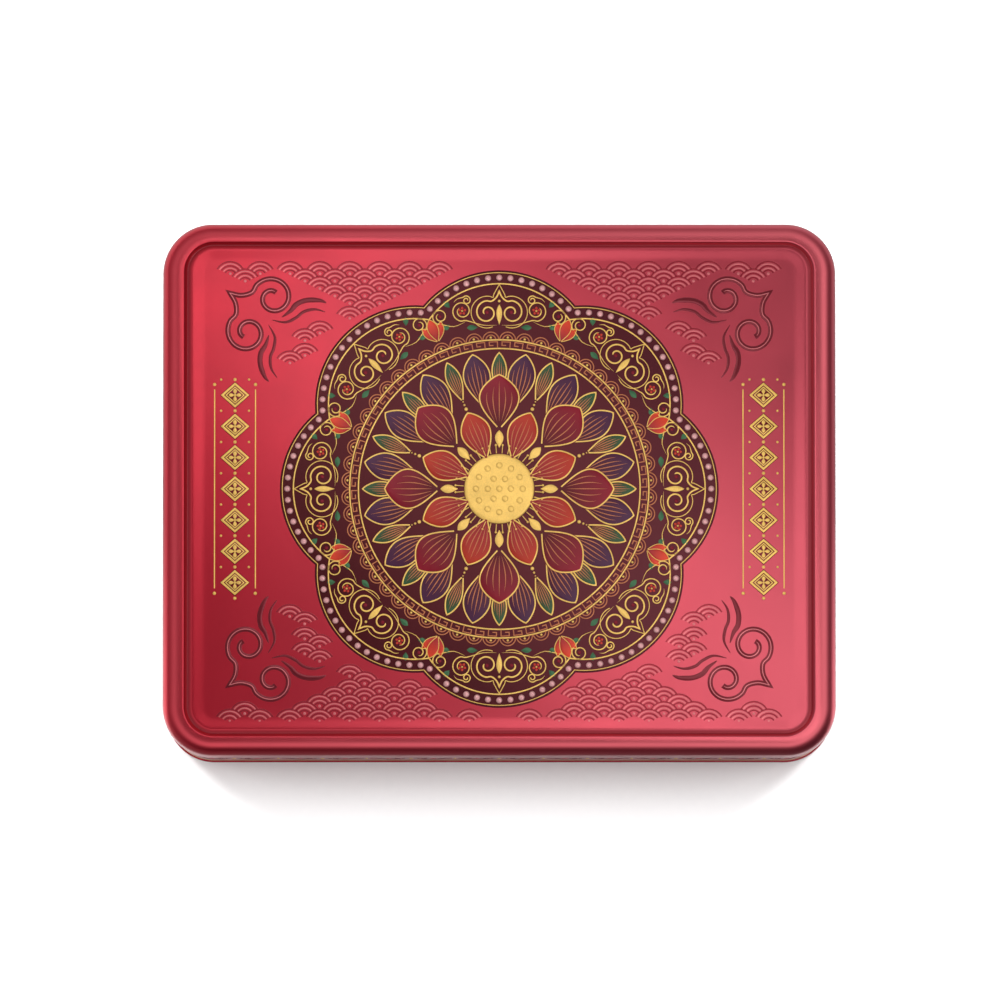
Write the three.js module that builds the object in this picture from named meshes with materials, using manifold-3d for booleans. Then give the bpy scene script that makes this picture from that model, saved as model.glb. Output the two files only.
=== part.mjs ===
// A shut gift tin for mooncakes: a slip lid with a framed, embossed top, over a deep base.
// Millimetres, +Z up. The origin is the middle of the plane the tin stands on.
// +X is to the right and +Y to the back of the tin as its top is read.
import * as THREE from "three";
import { mergeVertices } from "three/addons/utils/BufferGeometryUtils.js";
import Module from "manifold-3d";

// The whole tin
const TIN_WIDTH = 270;
const TIN_DEPTH = 214;
const TIN_HEIGHT = 60;
const CORNER_RADIUS = 20;
const CORNER_STEPS = 8;
// What is inset stands in a little further from the left and right than from the front and back
const INSET_ACROSS = 1.07;
const INSET_ALONG = 0.93;

// The lid
const SKIRT_DEPTH = 20;
const SHOULDER_RADIUS = 6.5;
const SHOULDER_STEPS = 5;
const UNDER_SHOULDER_STEPS = 3;
const HEM_RADIUS = 0.5;
const HEM_STEPS = 4;
const LID_WALL = 1.0;
const LID_ROOF = 1.8;
const GROOVE_INSET = 9.35;
const GROOVE_HALF_WIDTH = 1.5;
const GROOVE_DEPTH = 1.5;
const GROOVE_FLOOR_SHARE = 0.12;
const PANEL_LIP_INSET = 11.6;
const PANEL_LIP_DROP = 0.75;
const PANEL_INSET = 15.4;
const PANEL_DROP = 1.1;

// The base
const SLIP_GAP = 0.3;
const SEAM_HEIGHT = 2.6;
const SEAM_PROUD = 0.6;
const SEAM_EDGE = 0.5;
const SEAM_WIDTH = 2.4;
const FLOOR_RECESS = 1.8;

// The lobed medallion in the middle of the lid
const LOBES = 8;
const LOBE_CENTRE = 48;
const LOBE_RADIUS = 40;
const LOBE_STEPS = 6;
const MEDALLION_RISE = 0.25;
const MEDALLION_SLOPE = 0.7;

// The beads just inside its edge
const BEADS_PER_LOBE = 15;
const BEAD_RADIUS = 1.3;
const BEAD_RISE = 0.5;
const BEAD_INSET = 3.0;
const BEAD_SIDES = 5;

// A bead or seed has a shoulder at this share of its radius and of its rise
const DOME_SHOULDER_RADIUS = 0.62;
const DOME_SHOULDER_RISE = 0.78;

// The lotus: rings of petals round a seed pod
const POD_RADIUS = 14;
const POD_RISE = 0.55;
const POD_SLOPE = 0.8;
const POD_STEPS = 16;
const SEED_RADIUS = 1.3;
const SEED_RISE = 0.3;
const SEED_SIDES = 6;
const SEED_RINGS = [
  { count: 1, radius: 0 },
  { count: 6, radius: 4.6 },
  { count: 12, radius: 9.4 },
];
const PETAL_RINGS = [
  { count: 16, from: 34, to: 55, width: 11.5, edge: 0.03, rise: 0.2, turn: 0.5 },
  { count: 8, from: 24, to: 46, width: 17, edge: 0.22, rise: 0.24, turn: 0 },
  { count: 8, from: 13, to: 33, width: 12.5, edge: 0.44, rise: 0.28, turn: 0.5 },
];
const PETAL_ROWS = 6;
const PETAL_ACROSS = [-1, -0.6, 0, 0.6, 1];
const PETAL_FULLNESS = 1.25;
const PETAL_BLUNTNESS = 0.8;

// The chains of lozenges at the left and right of the medallion
const CHAIN_PLACE = 106;
const CHAIN_LENGTH = 88;
const CHAIN_WIDTH = 12;
const CHAIN_RISE = 0.35;
const CHAIN_EDGE = 0.5;
const LOZENGES = 7;
const LOZENGE_SHARE = 0.86;

// The scrolled clouds in the corners of the panel
const CLOUD_ACROSS = 96;
const CLOUD_ALONG = 70;
const CLOUD_TURNS = 1.3;
const CLOUD_START_ANGLE = 0.62 * Math.PI;
const CLOUD_SCROLL_RADIUS = 8.6;
const CLOUD_EYE_RADIUS = 2.4;
const CLOUD_HEAD = 15;
const CLOUD_NECK_ACROSS = 1.9;
const CLOUD_NECK_ALONG = 10.8;
const CLOUD_STEPS = 18;
const CLOUD_TAIL = 11;
const CLOUD_TAIL_WAVE = 1.8;
const CLOUD_TAIL_FALL = 8;
const CLOUD_TAIL_DROP = 10;
const TAIL_STEPS = 6;
const RIBBON_WIDTH = 2.0;
const RIBBON_RISE = 0.35;
const RIBBON_CREST_SHARE = 0.4;

// How far each raised piece reaches down into the sheet that carries it
const ROOT_DEPTH = 0.25;

const wasm = await Module();
wasm.setup();

// A closed three.js geometry as a solid for joining and cutting.
function solidOf(geometry) {
  const bare = geometry.index ? geometry.toNonIndexed() : geometry.clone();
  bare.deleteAttribute("normal");
  bare.deleteAttribute("uv");
  const merged = mergeVertices(bare, 1e-4);
  const corners = merged.index.array;
  const kept = [];
  for (let i = 0; i < corners.length; i += 3) {
    const [a, b, c] = [corners[i], corners[i + 1], corners[i + 2]];
    if (a !== b && b !== c && c !== a) kept.push(a, b, c);
  }
  return new wasm.Manifold(
    new wasm.Mesh({
      numProp: 3,
      vertProperties: merged.attributes.position.array,
      triVerts: new Uint32Array(kept),
    }),
  );
}

// A solid as a three.js geometry with flat faces.
function geometryOf(solid) {
  const mesh = solid.getMesh();
  const geometry = new THREE.BufferGeometry();
  geometry.setAttribute("position", new THREE.BufferAttribute(mesh.vertProperties, 3));
  geometry.setIndex(new THREE.BufferAttribute(mesh.triVerts, 1));
  const flat = geometry.toNonIndexed();
  flat.computeVertexNormals();
  return flat;
}

// The tin's outline, set in by `inset` from the lid's own, at height z.
function outlineRing(inset, z) {
  const radius = CORNER_RADIUS - inset;
  const across = TIN_WIDTH / 2 - inset * INSET_ACROSS - radius;
  const along = TIN_DEPTH / 2 - inset * INSET_ALONG - radius;
  const ring = [];
  for (let corner = 0; corner < 4; corner++) {
    const x = corner === 0 || corner === 3 ? across : -across;
    const y = corner < 2 ? along : -along;
    for (let step = 0; step <= CORNER_STEPS; step++) {
      const angle = ((corner + step / CORNER_STEPS) * Math.PI) / 2;
      ring.push([x + radius * Math.cos(angle), y + radius * Math.sin(angle), z]);
    }
  }
  return ring;
}

// A closed body through rings of the tin's outline, from the first ring's middle to the last's.
// The profile lists [inset, z]. With inset drawn to the right, the material is on its right hand.
function tinBody(profile) {
  const rings = profile.map(([inset, z]) => outlineRing(inset, z));
  const positions = [];
  const count = rings[0].length;
  for (let i = 0; i < rings.length - 1; i++) {
    for (let j = 0; j < count; j++) {
      const next = (j + 1) % count;
      const [a, b, c, d] = [rings[i][j], rings[i][next], rings[i + 1][next], rings[i + 1][j]];
      positions.push(...a, ...b, ...c, ...a, ...c, ...d);
    }
  }
  const first = rings[0];
  const last = rings[rings.length - 1];
  for (let j = 0; j < count; j++) {
    const next = (j + 1) % count;
    positions.push(0, 0, first[j][2], ...first[next], ...first[j]);
    positions.push(0, 0, last[j][2], ...last[j], ...last[next]);
  }
  const geometry = new THREE.BufferGeometry();
  geometry.setAttribute("position", new THREE.Float32BufferAttribute(positions, 3));
  return geometry;
}

// Points of a round, from one angle to another, about (inset, z).
function arc(inset, z, radius, fromAngle, toAngle, steps) {
  const points = [];
  for (let step = 0; step <= steps; step++) {
    const angle = fromAngle + ((toAngle - fromAngle) * step) / steps;
    points.push([inset + radius * Math.cos(angle), z + radius * Math.sin(angle)]);
  }
  return points;
}

const PANEL_HEIGHT = TIN_HEIGHT - PANEL_DROP;
const CEILING_HEIGHT = PANEL_HEIGHT - LID_ROOF;
const SKIRT_BOTTOM = TIN_HEIGHT - SKIRT_DEPTH;
const SHOULDER_FOOT = TIN_HEIGHT - SHOULDER_RADIUS;

// From a flat top at height z down a round that follows the shoulder, `within` behind its face.
function underShoulder(within, z) {
  const radius = SHOULDER_RADIUS - within;
  const start = Math.PI - Math.asin((z - SHOULDER_FOOT) / radius);
  return arc(SHOULDER_RADIUS, SHOULDER_FOOT, radius, start, Math.PI, UNDER_SHOULDER_STEPS);
}

// The lid's sheet: ceiling, inner wall, rounded hem, skirt, shoulder, frame, groove, panel.
function lidSheet() {
  const grooveFloor = TIN_HEIGHT - GROOVE_DEPTH;
  const floorHalf = GROOVE_HALF_WIDTH * GROOVE_FLOOR_SHARE;
  const hem = SKIRT_BOTTOM + HEM_RADIUS;
  return tinBody([
    ...underShoulder(LID_WALL, CEILING_HEIGHT),
    ...arc(HEM_RADIUS, hem, HEM_RADIUS, 0, -Math.PI, HEM_STEPS),
    ...arc(SHOULDER_RADIUS, SHOULDER_FOOT, SHOULDER_RADIUS, Math.PI, Math.PI / 2, SHOULDER_STEPS),
    [GROOVE_INSET - GROOVE_HALF_WIDTH, TIN_HEIGHT],
    [GROOVE_INSET - floorHalf, grooveFloor],
    [GROOVE_INSET + floorHalf, grooveFloor],
    [GROOVE_INSET + GROOVE_HALF_WIDTH, TIN_HEIGHT - PANEL_LIP_DROP],
    [PANEL_LIP_INSET, TIN_HEIGHT - PANEL_LIP_DROP],
    [PANEL_INSET, PANEL_HEIGHT],
  ]);
}

// The base: recessed bottom, seam to stand on, straight wall, and a closed top under the lid.
function baseBody() {
  const wall = LID_WALL + SLIP_GAP;
  const seam = wall - SEAM_PROUD;
  return tinBody([
    [seam + SEAM_EDGE + SEAM_WIDTH, FLOOR_RECESS],
    [seam + SEAM_EDGE + SEAM_WIDTH, 0],
    [seam + SEAM_EDGE, 0],
    [seam, SEAM_EDGE],
    [seam, SEAM_HEIGHT - SEAM_EDGE],
    [seam + SEAM_EDGE / 2, SEAM_HEIGHT],
    [wall, SEAM_HEIGHT + SEAM_EDGE / 2],
    ...underShoulder(wall, CEILING_HEIGHT - SLIP_GAP).reverse(),
  ]);
}

// A raised shape with a rounded edge: its outline lies on `ground`, its top is `rise` above.
function embossed(shape, ground, rise, slope, curveSegments) {
  const geometry = new THREE.ExtrudeGeometry(shape, {
    depth: ROOT_DEPTH,
    bevelEnabled: true,
    bevelThickness: rise,
    bevelSize: slope,
    bevelOffset: -slope,
    bevelSegments: 2,
    curveSegments,
  });
  return geometry.translate(0, 0, ground - ROOT_DEPTH);
}

// A low round dome, rooted in the sheet at `ground`.
function dome(radius, rise, sides, x, y, ground) {
  const profile = [
    new THREE.Vector2(0, -ROOT_DEPTH),
    new THREE.Vector2(radius, -ROOT_DEPTH),
    new THREE.Vector2(radius, 0),
    new THREE.Vector2(radius * DOME_SHOULDER_RADIUS, rise * DOME_SHOULDER_RISE),
    new THREE.Vector2(0, rise),
  ];
  const geometry = new THREE.LatheGeometry(profile, sides);
  return geometry.rotateX(Math.PI / 2).translate(x, y, ground);
}

// How far a lobe's arc of this radius swings each side of the lobe's heading before it meets the next.
const HALF_LOBE = Math.PI / LOBES;

function lobeSwing(radius) {
  return HALF_LOBE + Math.asin((LOBE_CENTRE * Math.sin(HALF_LOBE)) / radius);
}

function medallionShape() {
  const shape = new THREE.Shape();
  const swing = lobeSwing(LOBE_RADIUS);
  for (let lobe = 0; lobe < LOBES; lobe++) {
    const heading = lobe * 2 * HALF_LOBE;
    const x = LOBE_CENTRE * Math.cos(heading);
    const y = LOBE_CENTRE * Math.sin(heading);
    shape.absarc(x, y, LOBE_RADIUS, heading - swing, heading + swing, false);
  }
  return shape;
}

// Beads evenly along each lobe, following its arc just inside the edge.
function beads(ground) {
  const made = [];
  const reach = LOBE_RADIUS - BEAD_INSET;
  for (let lobe = 0; lobe < LOBES; lobe++) {
    const heading = lobe * 2 * HALF_LOBE;
    for (let bead = 0; bead < BEADS_PER_LOBE; bead++) {
      const turn = heading + lobeSwing(reach) * ((2 * bead + 1) / BEADS_PER_LOBE - 1);
      const x = LOBE_CENTRE * Math.cos(heading) + reach * Math.cos(turn);
      const y = LOBE_CENTRE * Math.sin(heading) + reach * Math.sin(turn);
      made.push(dome(BEAD_RADIUS, BEAD_RISE, BEAD_SIDES, x, y, ground));
    }
  }
  return made;
}

// A petal along +X, full past its middle and drawn to a point, with a raised, rounded back.
// Rows run across it, and each row's ends lie on the outline, `edge` above the ground.
function petalBody({ from, to, width, edge, rise }, ground) {
  const rows = [];
  for (let row = 0; row <= PETAL_ROWS; row++) {
    const share = row / PETAL_ROWS;
    const fullness = Math.sin(Math.PI * share ** PETAL_FULLNESS) ** PETAL_BLUNTNESS;
    const half = (width / 2) * fullness;
    const x = from + (to - from) * share;
    const crest = rise * Math.sqrt(fullness);
    const top = PETAL_ACROSS.map((u) => [x, u * half, ground + edge + crest * (1 - u ** 4)]);
    const foot = PETAL_ACROSS.map((u) => [x, u * half, ground - ROOT_DEPTH]);
    rows.push([...top, ...foot.reverse()]);
  }
  const positions = [];
  const count = rows[0].length;
  for (let row = 0; row < PETAL_ROWS; row++) {
    for (let j = 0; j < count; j++) {
      const next = (j + 1) % count;
      const [a, b, c, d] = [rows[row][j], rows[row][next], rows[row + 1][next], rows[row + 1][j]];
      positions.push(...a, ...c, ...b, ...a, ...d, ...c);
    }
  }
  const geometry = new THREE.BufferGeometry();
  geometry.setAttribute("position", new THREE.Float32BufferAttribute(positions, 3));
  return geometry;
}

function lotus(ground) {
  const made = [];
  for (const ring of PETAL_RINGS) {
    for (let petal = 0; petal < ring.count; petal++) {
      const heading = ((petal + ring.turn) * 2 * Math.PI) / ring.count;
      made.push(petalBody(ring, ground).rotateZ(heading));
    }
  }
  const pod = new THREE.Shape().absarc(0, 0, POD_RADIUS, 0, 2 * Math.PI, false);
  made.push(embossed(pod, ground, POD_RISE, POD_SLOPE, POD_STEPS));
  for (const ring of SEED_RINGS) {
    for (let seed = 0; seed < ring.count; seed++) {
      const heading = (seed * 2 * Math.PI) / ring.count;
      const x = ring.radius * Math.cos(heading);
      const y = ring.radius * Math.sin(heading);
      made.push(dome(SEED_RADIUS, SEED_RISE, SEED_SIDES, x, y, ground + POD_RISE));
    }
  }
  return made;
}

// A chain of lozenges up the panel, point to point.
function lozengeChain(x, ground) {
  const made = [];
  const pitch = CHAIN_LENGTH / LOZENGES;
  for (let link = 0; link < LOZENGES; link++) {
    const y = (link - (LOZENGES - 1) / 2) * pitch;
    const shape = new THREE.Shape();
    shape.moveTo(x + CHAIN_WIDTH / 2, y);
    shape.lineTo(x, y + (pitch * LOZENGE_SHARE) / 2);
    shape.lineTo(x - CHAIN_WIDTH / 2, y);
    shape.lineTo(x, y - (pitch * LOZENGE_SHARE) / 2);
    shape.closePath();
    made.push(embossed(shape, ground, CHAIN_RISE, CHAIN_EDGE, 1));
  }
  return made;
}

// Half of a cloud head, from its point down its neck and round one scroll: `side` is 1 or -1.
function scrollPoints(side) {
  const point = new THREE.Vector3(0, CLOUD_HEAD, 0);
  const neck = new THREE.Vector3(side * CLOUD_NECK_ACROSS, CLOUD_NECK_ALONG, 0);
  const points = [point, neck];
  for (let step = 0; step <= CLOUD_STEPS; step++) {
    const share = step / CLOUD_STEPS;
    const angle = CLOUD_START_ANGLE - share * CLOUD_TURNS * 2 * Math.PI;
    const radius = CLOUD_SCROLL_RADIUS + (CLOUD_EYE_RADIUS - CLOUD_SCROLL_RADIUS) * share;
    const x = CLOUD_SCROLL_RADIUS + radius * Math.cos(angle);
    points.push(new THREE.Vector3(side * x, radius * Math.sin(angle), 0));
  }
  return points;
}

// The tail that trails from under the head along one edge of the panel.
function tailPoints(side) {
  const points = [];
  for (let step = 0; step <= TAIL_STEPS; step++) {
    const share = step / TAIL_STEPS;
    const x = CLOUD_SCROLL_RADIUS + share * CLOUD_TAIL;
    const wave = CLOUD_TAIL_WAVE * Math.sin(share * 2 * Math.PI);
    const y = wave - CLOUD_TAIL_DROP - CLOUD_TAIL_FALL * share ** 2;
    points.push(new THREE.Vector3(side * x, y, 0));
  }
  return points;
}

// A low rounded ribbon swept along a curve in the panel's plane.
function ribbon(points, steps, ground) {
  const half = RIBBON_WIDTH / 2;
  const section = new THREE.Shape();
  section.moveTo(ROOT_DEPTH, -half);
  section.lineTo(ROOT_DEPTH, half);
  section.lineTo(-RIBBON_RISE, half * RIBBON_CREST_SHARE);
  section.lineTo(-RIBBON_RISE, -half * RIBBON_CREST_SHARE);
  section.closePath();
  const extrudePath = new THREE.CatmullRomCurve3(points);
  const geometry = new THREE.ExtrudeGeometry(section, { steps, bevelEnabled: false, extrudePath });
  return geometry.translate(0, 0, ground);
}

// One cloud for each corner, its head to the corner and its tails along the two edges.
function clouds(ground) {
  const made = [];
  for (let corner = 0; corner < 4; corner++) {
    const right = corner === 0 || corner === 3 ? 1 : -1;
    const back = corner < 2 ? 1 : -1;
    const heading = Math.atan2(back * CLOUD_ALONG, right * CLOUD_ACROSS) - Math.PI / 2;
    for (const side of [1, -1]) {
      for (const points of [scrollPoints(side), tailPoints(side)]) {
        const piece = ribbon(points, points.length, ground);
        piece.rotateZ(heading);
        made.push(piece.translate(right * CLOUD_ACROSS, back * CLOUD_ALONG, 0));
      }
    }
  }
  return made;
}

function makeLid() {
  const field = PANEL_HEIGHT + MEDALLION_RISE;
  const reliefs = [
    embossed(medallionShape(), PANEL_HEIGHT, MEDALLION_RISE, MEDALLION_SLOPE, LOBE_STEPS),
    ...beads(field),
    ...lotus(field),
    ...lozengeChain(CHAIN_PLACE, PANEL_HEIGHT),
    ...lozengeChain(-CHAIN_PLACE, PANEL_HEIGHT),
    ...clouds(PANEL_HEIGHT),
  ];
  let lid = solidOf(lidSheet());
  for (const relief of reliefs) lid = lid.add(solidOf(relief));
  return lid;
}

const lidFinish = new THREE.MeshStandardMaterial({ color: 0xc8354a, roughness: 0.38, metalness: 0.7 });
const baseFinish = new THREE.MeshStandardMaterial({ color: 0xb52f43, roughness: 0.42, metalness: 0.7 });

const lid = new THREE.Mesh(geometryOf(makeLid()), lidFinish);
lid.name = "lid";
const base = new THREE.Mesh(geometryOf(solidOf(baseBody())), baseFinish);
base.name = "base";

const tin = new THREE.Group();
tin.name = "mooncake_tin";
tin.add(base, lid);

export default tin;
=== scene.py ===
import math
from collections import namedtuple

import bmesh
import bpy
from bpy.props import FloatProperty, FloatVectorProperty, PointerProperty
from bpy.types import Operator, Panel, PropertyGroup
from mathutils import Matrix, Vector


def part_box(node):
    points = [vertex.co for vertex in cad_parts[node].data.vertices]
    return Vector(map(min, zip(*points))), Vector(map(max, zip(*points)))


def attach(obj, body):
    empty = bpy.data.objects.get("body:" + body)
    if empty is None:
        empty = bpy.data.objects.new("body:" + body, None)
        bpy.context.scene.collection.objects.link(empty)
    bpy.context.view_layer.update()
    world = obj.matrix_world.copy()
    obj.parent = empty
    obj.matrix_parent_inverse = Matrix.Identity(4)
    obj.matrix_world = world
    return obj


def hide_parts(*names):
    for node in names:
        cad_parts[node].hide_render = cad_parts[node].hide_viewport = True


bl_info = {
    "name": "Mooncake gift tin",
    "version": (1, 0, 0),
    "blender": (4, 5, 0),
    "location": "3D View > Sidebar > Gift tin",
    "description": "Builds an embossed, printed gift tin round its packed solids",
    "category": "Add Mesh",
}

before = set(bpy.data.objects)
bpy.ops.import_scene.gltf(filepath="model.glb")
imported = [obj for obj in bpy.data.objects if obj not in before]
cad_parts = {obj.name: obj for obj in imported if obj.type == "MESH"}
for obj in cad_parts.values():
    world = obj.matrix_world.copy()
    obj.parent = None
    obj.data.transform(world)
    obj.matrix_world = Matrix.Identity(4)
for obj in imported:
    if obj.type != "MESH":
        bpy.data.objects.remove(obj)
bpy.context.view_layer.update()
LID_LOW, LID_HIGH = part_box("lid")

# Units
MM = 0.001
TURN = 2 * math.pi

# The tin's outline
TIN_WIDTH = (LID_HIGH.x - LID_LOW.x) / MM
TIN_DEPTH = (LID_HIGH.y - LID_LOW.y) / MM
TIN_HEIGHT = LID_HIGH.z / MM
CORNER_STEPS = 20
# What is inset stands in a little further from the left and right than from the front and back
INSET_ACROSS = 1.07
INSET_ALONG = 0.95

# The lid's sheet
HEM_RADIUS = 0.5
HEM_STEPS = 8
LID_WALL = 1.0
LID_ROOF = 1.8
SHOULDER_STEPS = 12
GROOVE_INSET = 9.35
GROOVE_HALF_WIDTH = 1.5
GROOVE_DEPTH = 1.5
GROOVE_FLOOR_SHARE = 0.12
PANEL_LIP_INSET = 11.6
PANEL_LIP_DROP = 0.75
PANEL_INSET = 15.4
PANEL_DROP = 1.1
PANEL_EDGE = 2.0
# Radii of the rounds that the press leaves at the groove, the lip and the panel
GROOVE_ROUND = 0.4
LIP_ROUND = 0.6
PANEL_ROUND = 1.4
FILLET_STEPS = 5

# The base
SLIP_GAP = 0.3
SEAM_HEIGHT = 2.6
SEAM_PROUD = 0.6
SEAM_EDGE = 0.5
SEAM_WIDTH = 2.4
# Radii of the seam's rounds: inside and outside at its foot, at its top, and where the wall starts
SEAM_ROUNDS = (0.4, 0.7, 0.5, 0.3)
FLOOR_RECESS = 1.8

# The lobed medallion
LOBES = 8
HALF_LOBE = math.pi / LOBES
LOBE_CENTRE = 48
LOBE_STEPS = 30
MEDALLION_RISE = 0.25
MEDALLION_SLOPE = 0.7
BEADS_PER_LOBE = 15
BEAD_RISE = 0.5
BEAD_INSET = 3.0

# The lotus
POD_RADIUS = 14
POD_RISE = 0.55
POD_SLOPE = 0.8
POD_STEPS = 72
SEED_RADIUS = 1.3
SEED_RISE = 0.3
SEED_RINGS = ((1, 0), (6, 4.6), (12, 9.4))
PETAL_FULLNESS = 1.25
PETAL_BLUNTNESS = 0.8
PETAL_ROWS = 22
# Where along a petal its body and its outline start and end, and how far across the outline runs
PETAL_BODY = (0.01, 0.995)
PETAL_OUTLINE = (0.04, 0.97)
OUTLINE_ACROSS = 0.93

# The chains of lozenges
CHAIN_PLACE = 106
CHAIN_LENGTH = 88
CHAIN_WIDTH = 12
CHAIN_RISE = 0.35
CHAIN_EDGE = 0.5
LOZENGES = 7
LOZENGE_SHARE = 0.86

# The clouds in the panel's corners
CLOUD_ACROSS = 96
CLOUD_ALONG = 70
CLOUD_TURNS = 1.3
CLOUD_START_ANGLE = 0.62 * math.pi
CLOUD_SCROLL_RADIUS = 8.6
CLOUD_EYE_RADIUS = 2.4
CLOUD_HEAD = 15
CLOUD_NECK = (0.72, 0.127)
# How far a line round a cloud's head keeps off its neck and its point, in gaps
ECHO_NECK = 0.6
ECHO_POINT = 1.6
CLOUD_STEPS = 20
# Steps that smoothing puts between each two points of a cloud's head
HEAD_SMOOTHING = 4
CLOUD_RIBBON_RISE = 0.35
# Streaks of a cloud's tail: width in ribbons, and points from under the head to the tail's end
CLOUD_STREAKS = (
    (1.0, ((-7.6, 4.4), (-8.9, 8.6), (-9.3, 12.2), (-11.6, 15.8), (-15.8, 18.8), (-18.6, 19.6))),
    (0.6, ((-5.0, 1.2), (-9.9, 3.6), (-12.3, 7.6), (-13.4, 11.4), (-16.4, 14.8), (-20.5, 16.4))),
)

# Printed relief, and how far it reaches down into the sheet
ROOT_DEPTH = 0.25
SHARP_ANGLE = math.radians(38)
# A strip's crown, in shares of its half width and of its rise
STRIP_SECTION = ((-0.78, 0.62), (-0.4, 0.93), (0.4, 0.93), (0.78, 0.62))
# The least cosine that widens a strip at a bend
MITRE_LIMIT = 0.45
# The least share of a strip's width at a tapered end, and how fast the width grows from there
TAPERED_WIDTH = 0.12
TAPER_POWER = 0.6
NO_LENGTH = 1e-6
# A dome's rings above its foot, in shares of its radius and of its rise
DOME_RINGS = ((0.86, 0.5), (0.6, 0.82), (0.3, 0.96))
DOT_SIDES = 8
# A fillet takes no more than this share of the straight on each side of its corner
FILLET_SHARE = 0.48
# The mesh attribute that tells a material where painted shade and painted highlight lie, or how near a
# petal's tip
SHARE = "share"

# Heights of the panel, of the medallion's field and of the lid's inside
PANEL = TIN_HEIGHT - PANEL_DROP
FIELD = PANEL + MEDALLION_RISE
CEILING = PANEL - LID_ROOF

# A petal or leaf along +X: where it starts and ends, how wide it grows, how far its edge stands
# above the ground, and how far its back rises above the edge.
Petal = namedtuple("Petal", "start end width edge rise")
OUTER_PETAL = Petal(34, 55, 11.5, 0.03, 0.2)
MIDDLE_PETAL = Petal(24, 46, 17, 0.22, 0.24)
INNER_PETAL = Petal(13, 33, 12.5, 0.44, 0.28)


def length_setting(name, description, millimetres):
    return FloatProperty(name=name, description=description, default=millimetres * MM, unit="LENGTH")


class TinSizes(PropertyGroup):
    """Sizes that can be changed without moving the tin off its solids"""

    corner_radius: length_setting("Corner radius", "Radius of the lid's upright corners", 20)
    shoulder_radius: length_setting("Shoulder radius", "Round from the skirt to the top", 6.5)
    skirt_depth: length_setting("Skirt depth", "How far the lid reaches down over the base", 20)
    lobe_radius: length_setting("Lobe radius", "Radius of each lobe of the medallion", 40)
    bead_radius: length_setting("Bead radius", "Radius of the beads inside the medallion's edge", 1.3)
    line_width: length_setting("Gold line width", "Width of the main printed gold lines", 0.66)
    line_rise: length_setting("Gold line rise", "How far the gold lines are pressed up", 0.16)
    ribbon_width: length_setting("Cloud ribbon width", "Width of the corner clouds' ribbons", 2.3)


def colour_setting(name, description, value):
    return FloatVectorProperty(
        name=name, description=description, default=value, size=3, min=0, max=1, subtype="COLOR",
    )


class TinColours(PropertyGroup):
    """Colours of the tin's lacquers and inks"""

    lid_red: colour_setting("Lid red", "Clear red lacquer over the lid", (0.72, 0.018, 0.044))
    # Painted light: the lid red turns paler to this towards the right
    lit_side_red: colour_setting("Rose red", "What the lid red turns to on the right", (0.72, 0.086, 0.125))
    # Painted highlight: the paler red of the raised frame
    frame_highlight_red: colour_setting("Stretched red", "Lacquer drawn thin on the frame", (0.92, 0.15, 0.19))
    shade_red: colour_setting("Shade red", "Dark ink of the tone-on-tone print", (0.22, 0.01, 0.022))
    wave_red: colour_setting("Wave red", "Softer dark ink of the wave scales", (0.37, 0.014, 0.03))
    blush: colour_setting("Blush", "Pale pink ink of the tone-on-tone print", (0.86, 0.21, 0.23))
    base_red: colour_setting("Base red", "Red lacquer of the base", (0.6, 0.022, 0.042))
    # Painted light: the base red turns paler to this towards the right
    lit_side_base_red: colour_setting("Base rose", "What the base red turns to on the right", (0.62, 0.062, 0.092))
    plum: colour_setting("Plum", "Ground of the medallion", (0.074, 0.0062, 0.0085))
    # Painted light: the plum turns paler to this towards the right
    lit_side_plum: colour_setting("Mauve", "What the plum turns to on the right", (0.12, 0.019, 0.028))
    gold: colour_setting("Gold", "Metallic gold ink", (0.95, 0.6, 0.15))
    copper: colour_setting("Copper", "Second, redder metallic ink", (0.57, 0.19, 0.08))
    rose: colour_setting("Rose", "Ink of the beads", (0.78, 0.4, 0.4))
    vermilion: colour_setting("Vermilion", "Orange-red accents", (0.55, 0.05, 0.022))
    violet: colour_setting("Violet", "Tips of the outer petals", (0.062, 0.02, 0.052))
    jade: colour_setting("Jade", "Leaves and sepals", (0.035, 0.1, 0.045))
    tinplate: colour_setting("Tinplate", "Bare sheet of the underside", (0.62, 0.6, 0.57))


def size(name):
    """One of the changeable sizes, in millimetres."""
    return getattr(bpy.context.scene.tin_sizes, name) / MM


def colour(name, factor=1.0):
    """One of the changeable colours with its alpha, made darker or brighter by a factor."""
    channels = getattr(bpy.context.scene.tin_colours, name)
    return (*(channel * factor for channel in channels), 1.0)


# Meshes


class MeshPlan:
    """Points in millimetres and the faces between them, gathered before a mesh is made"""

    def __init__(self):
        self.points = []
        self.faces = []
        self.shares = []

    def loft(self, rings, closed=False, shares=None):
        """A body through rings of as many points each. Unless it closes on itself, fans end it."""
        count = len(rings[0])
        first = len(self.points)
        for index, ring in enumerate(rings):
            self.points += ring
            self.shares += [shares[index] if shares else 0.0] * count
        for index in range(len(rings) - (0 if closed else 1)):
            start = first + index * count
            after = first + (index + 1) % len(rings) * count
            for j in range(count):
                k = (j + 1) % count
                self.faces.append((start + j, start + k, after + k, after + j))
        if closed:
            return
        for index in (0, len(rings) - 1):
            middle = len(self.points)
            self.points.append(tuple(sum(axis) / count for axis in zip(*rings[index])))
            self.shares.append(shares[index] if shares else 0.0)
            start = first + index * count
            self.faces += [(start + j, start + (j + 1) % count, middle) for j in range(count)]


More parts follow.
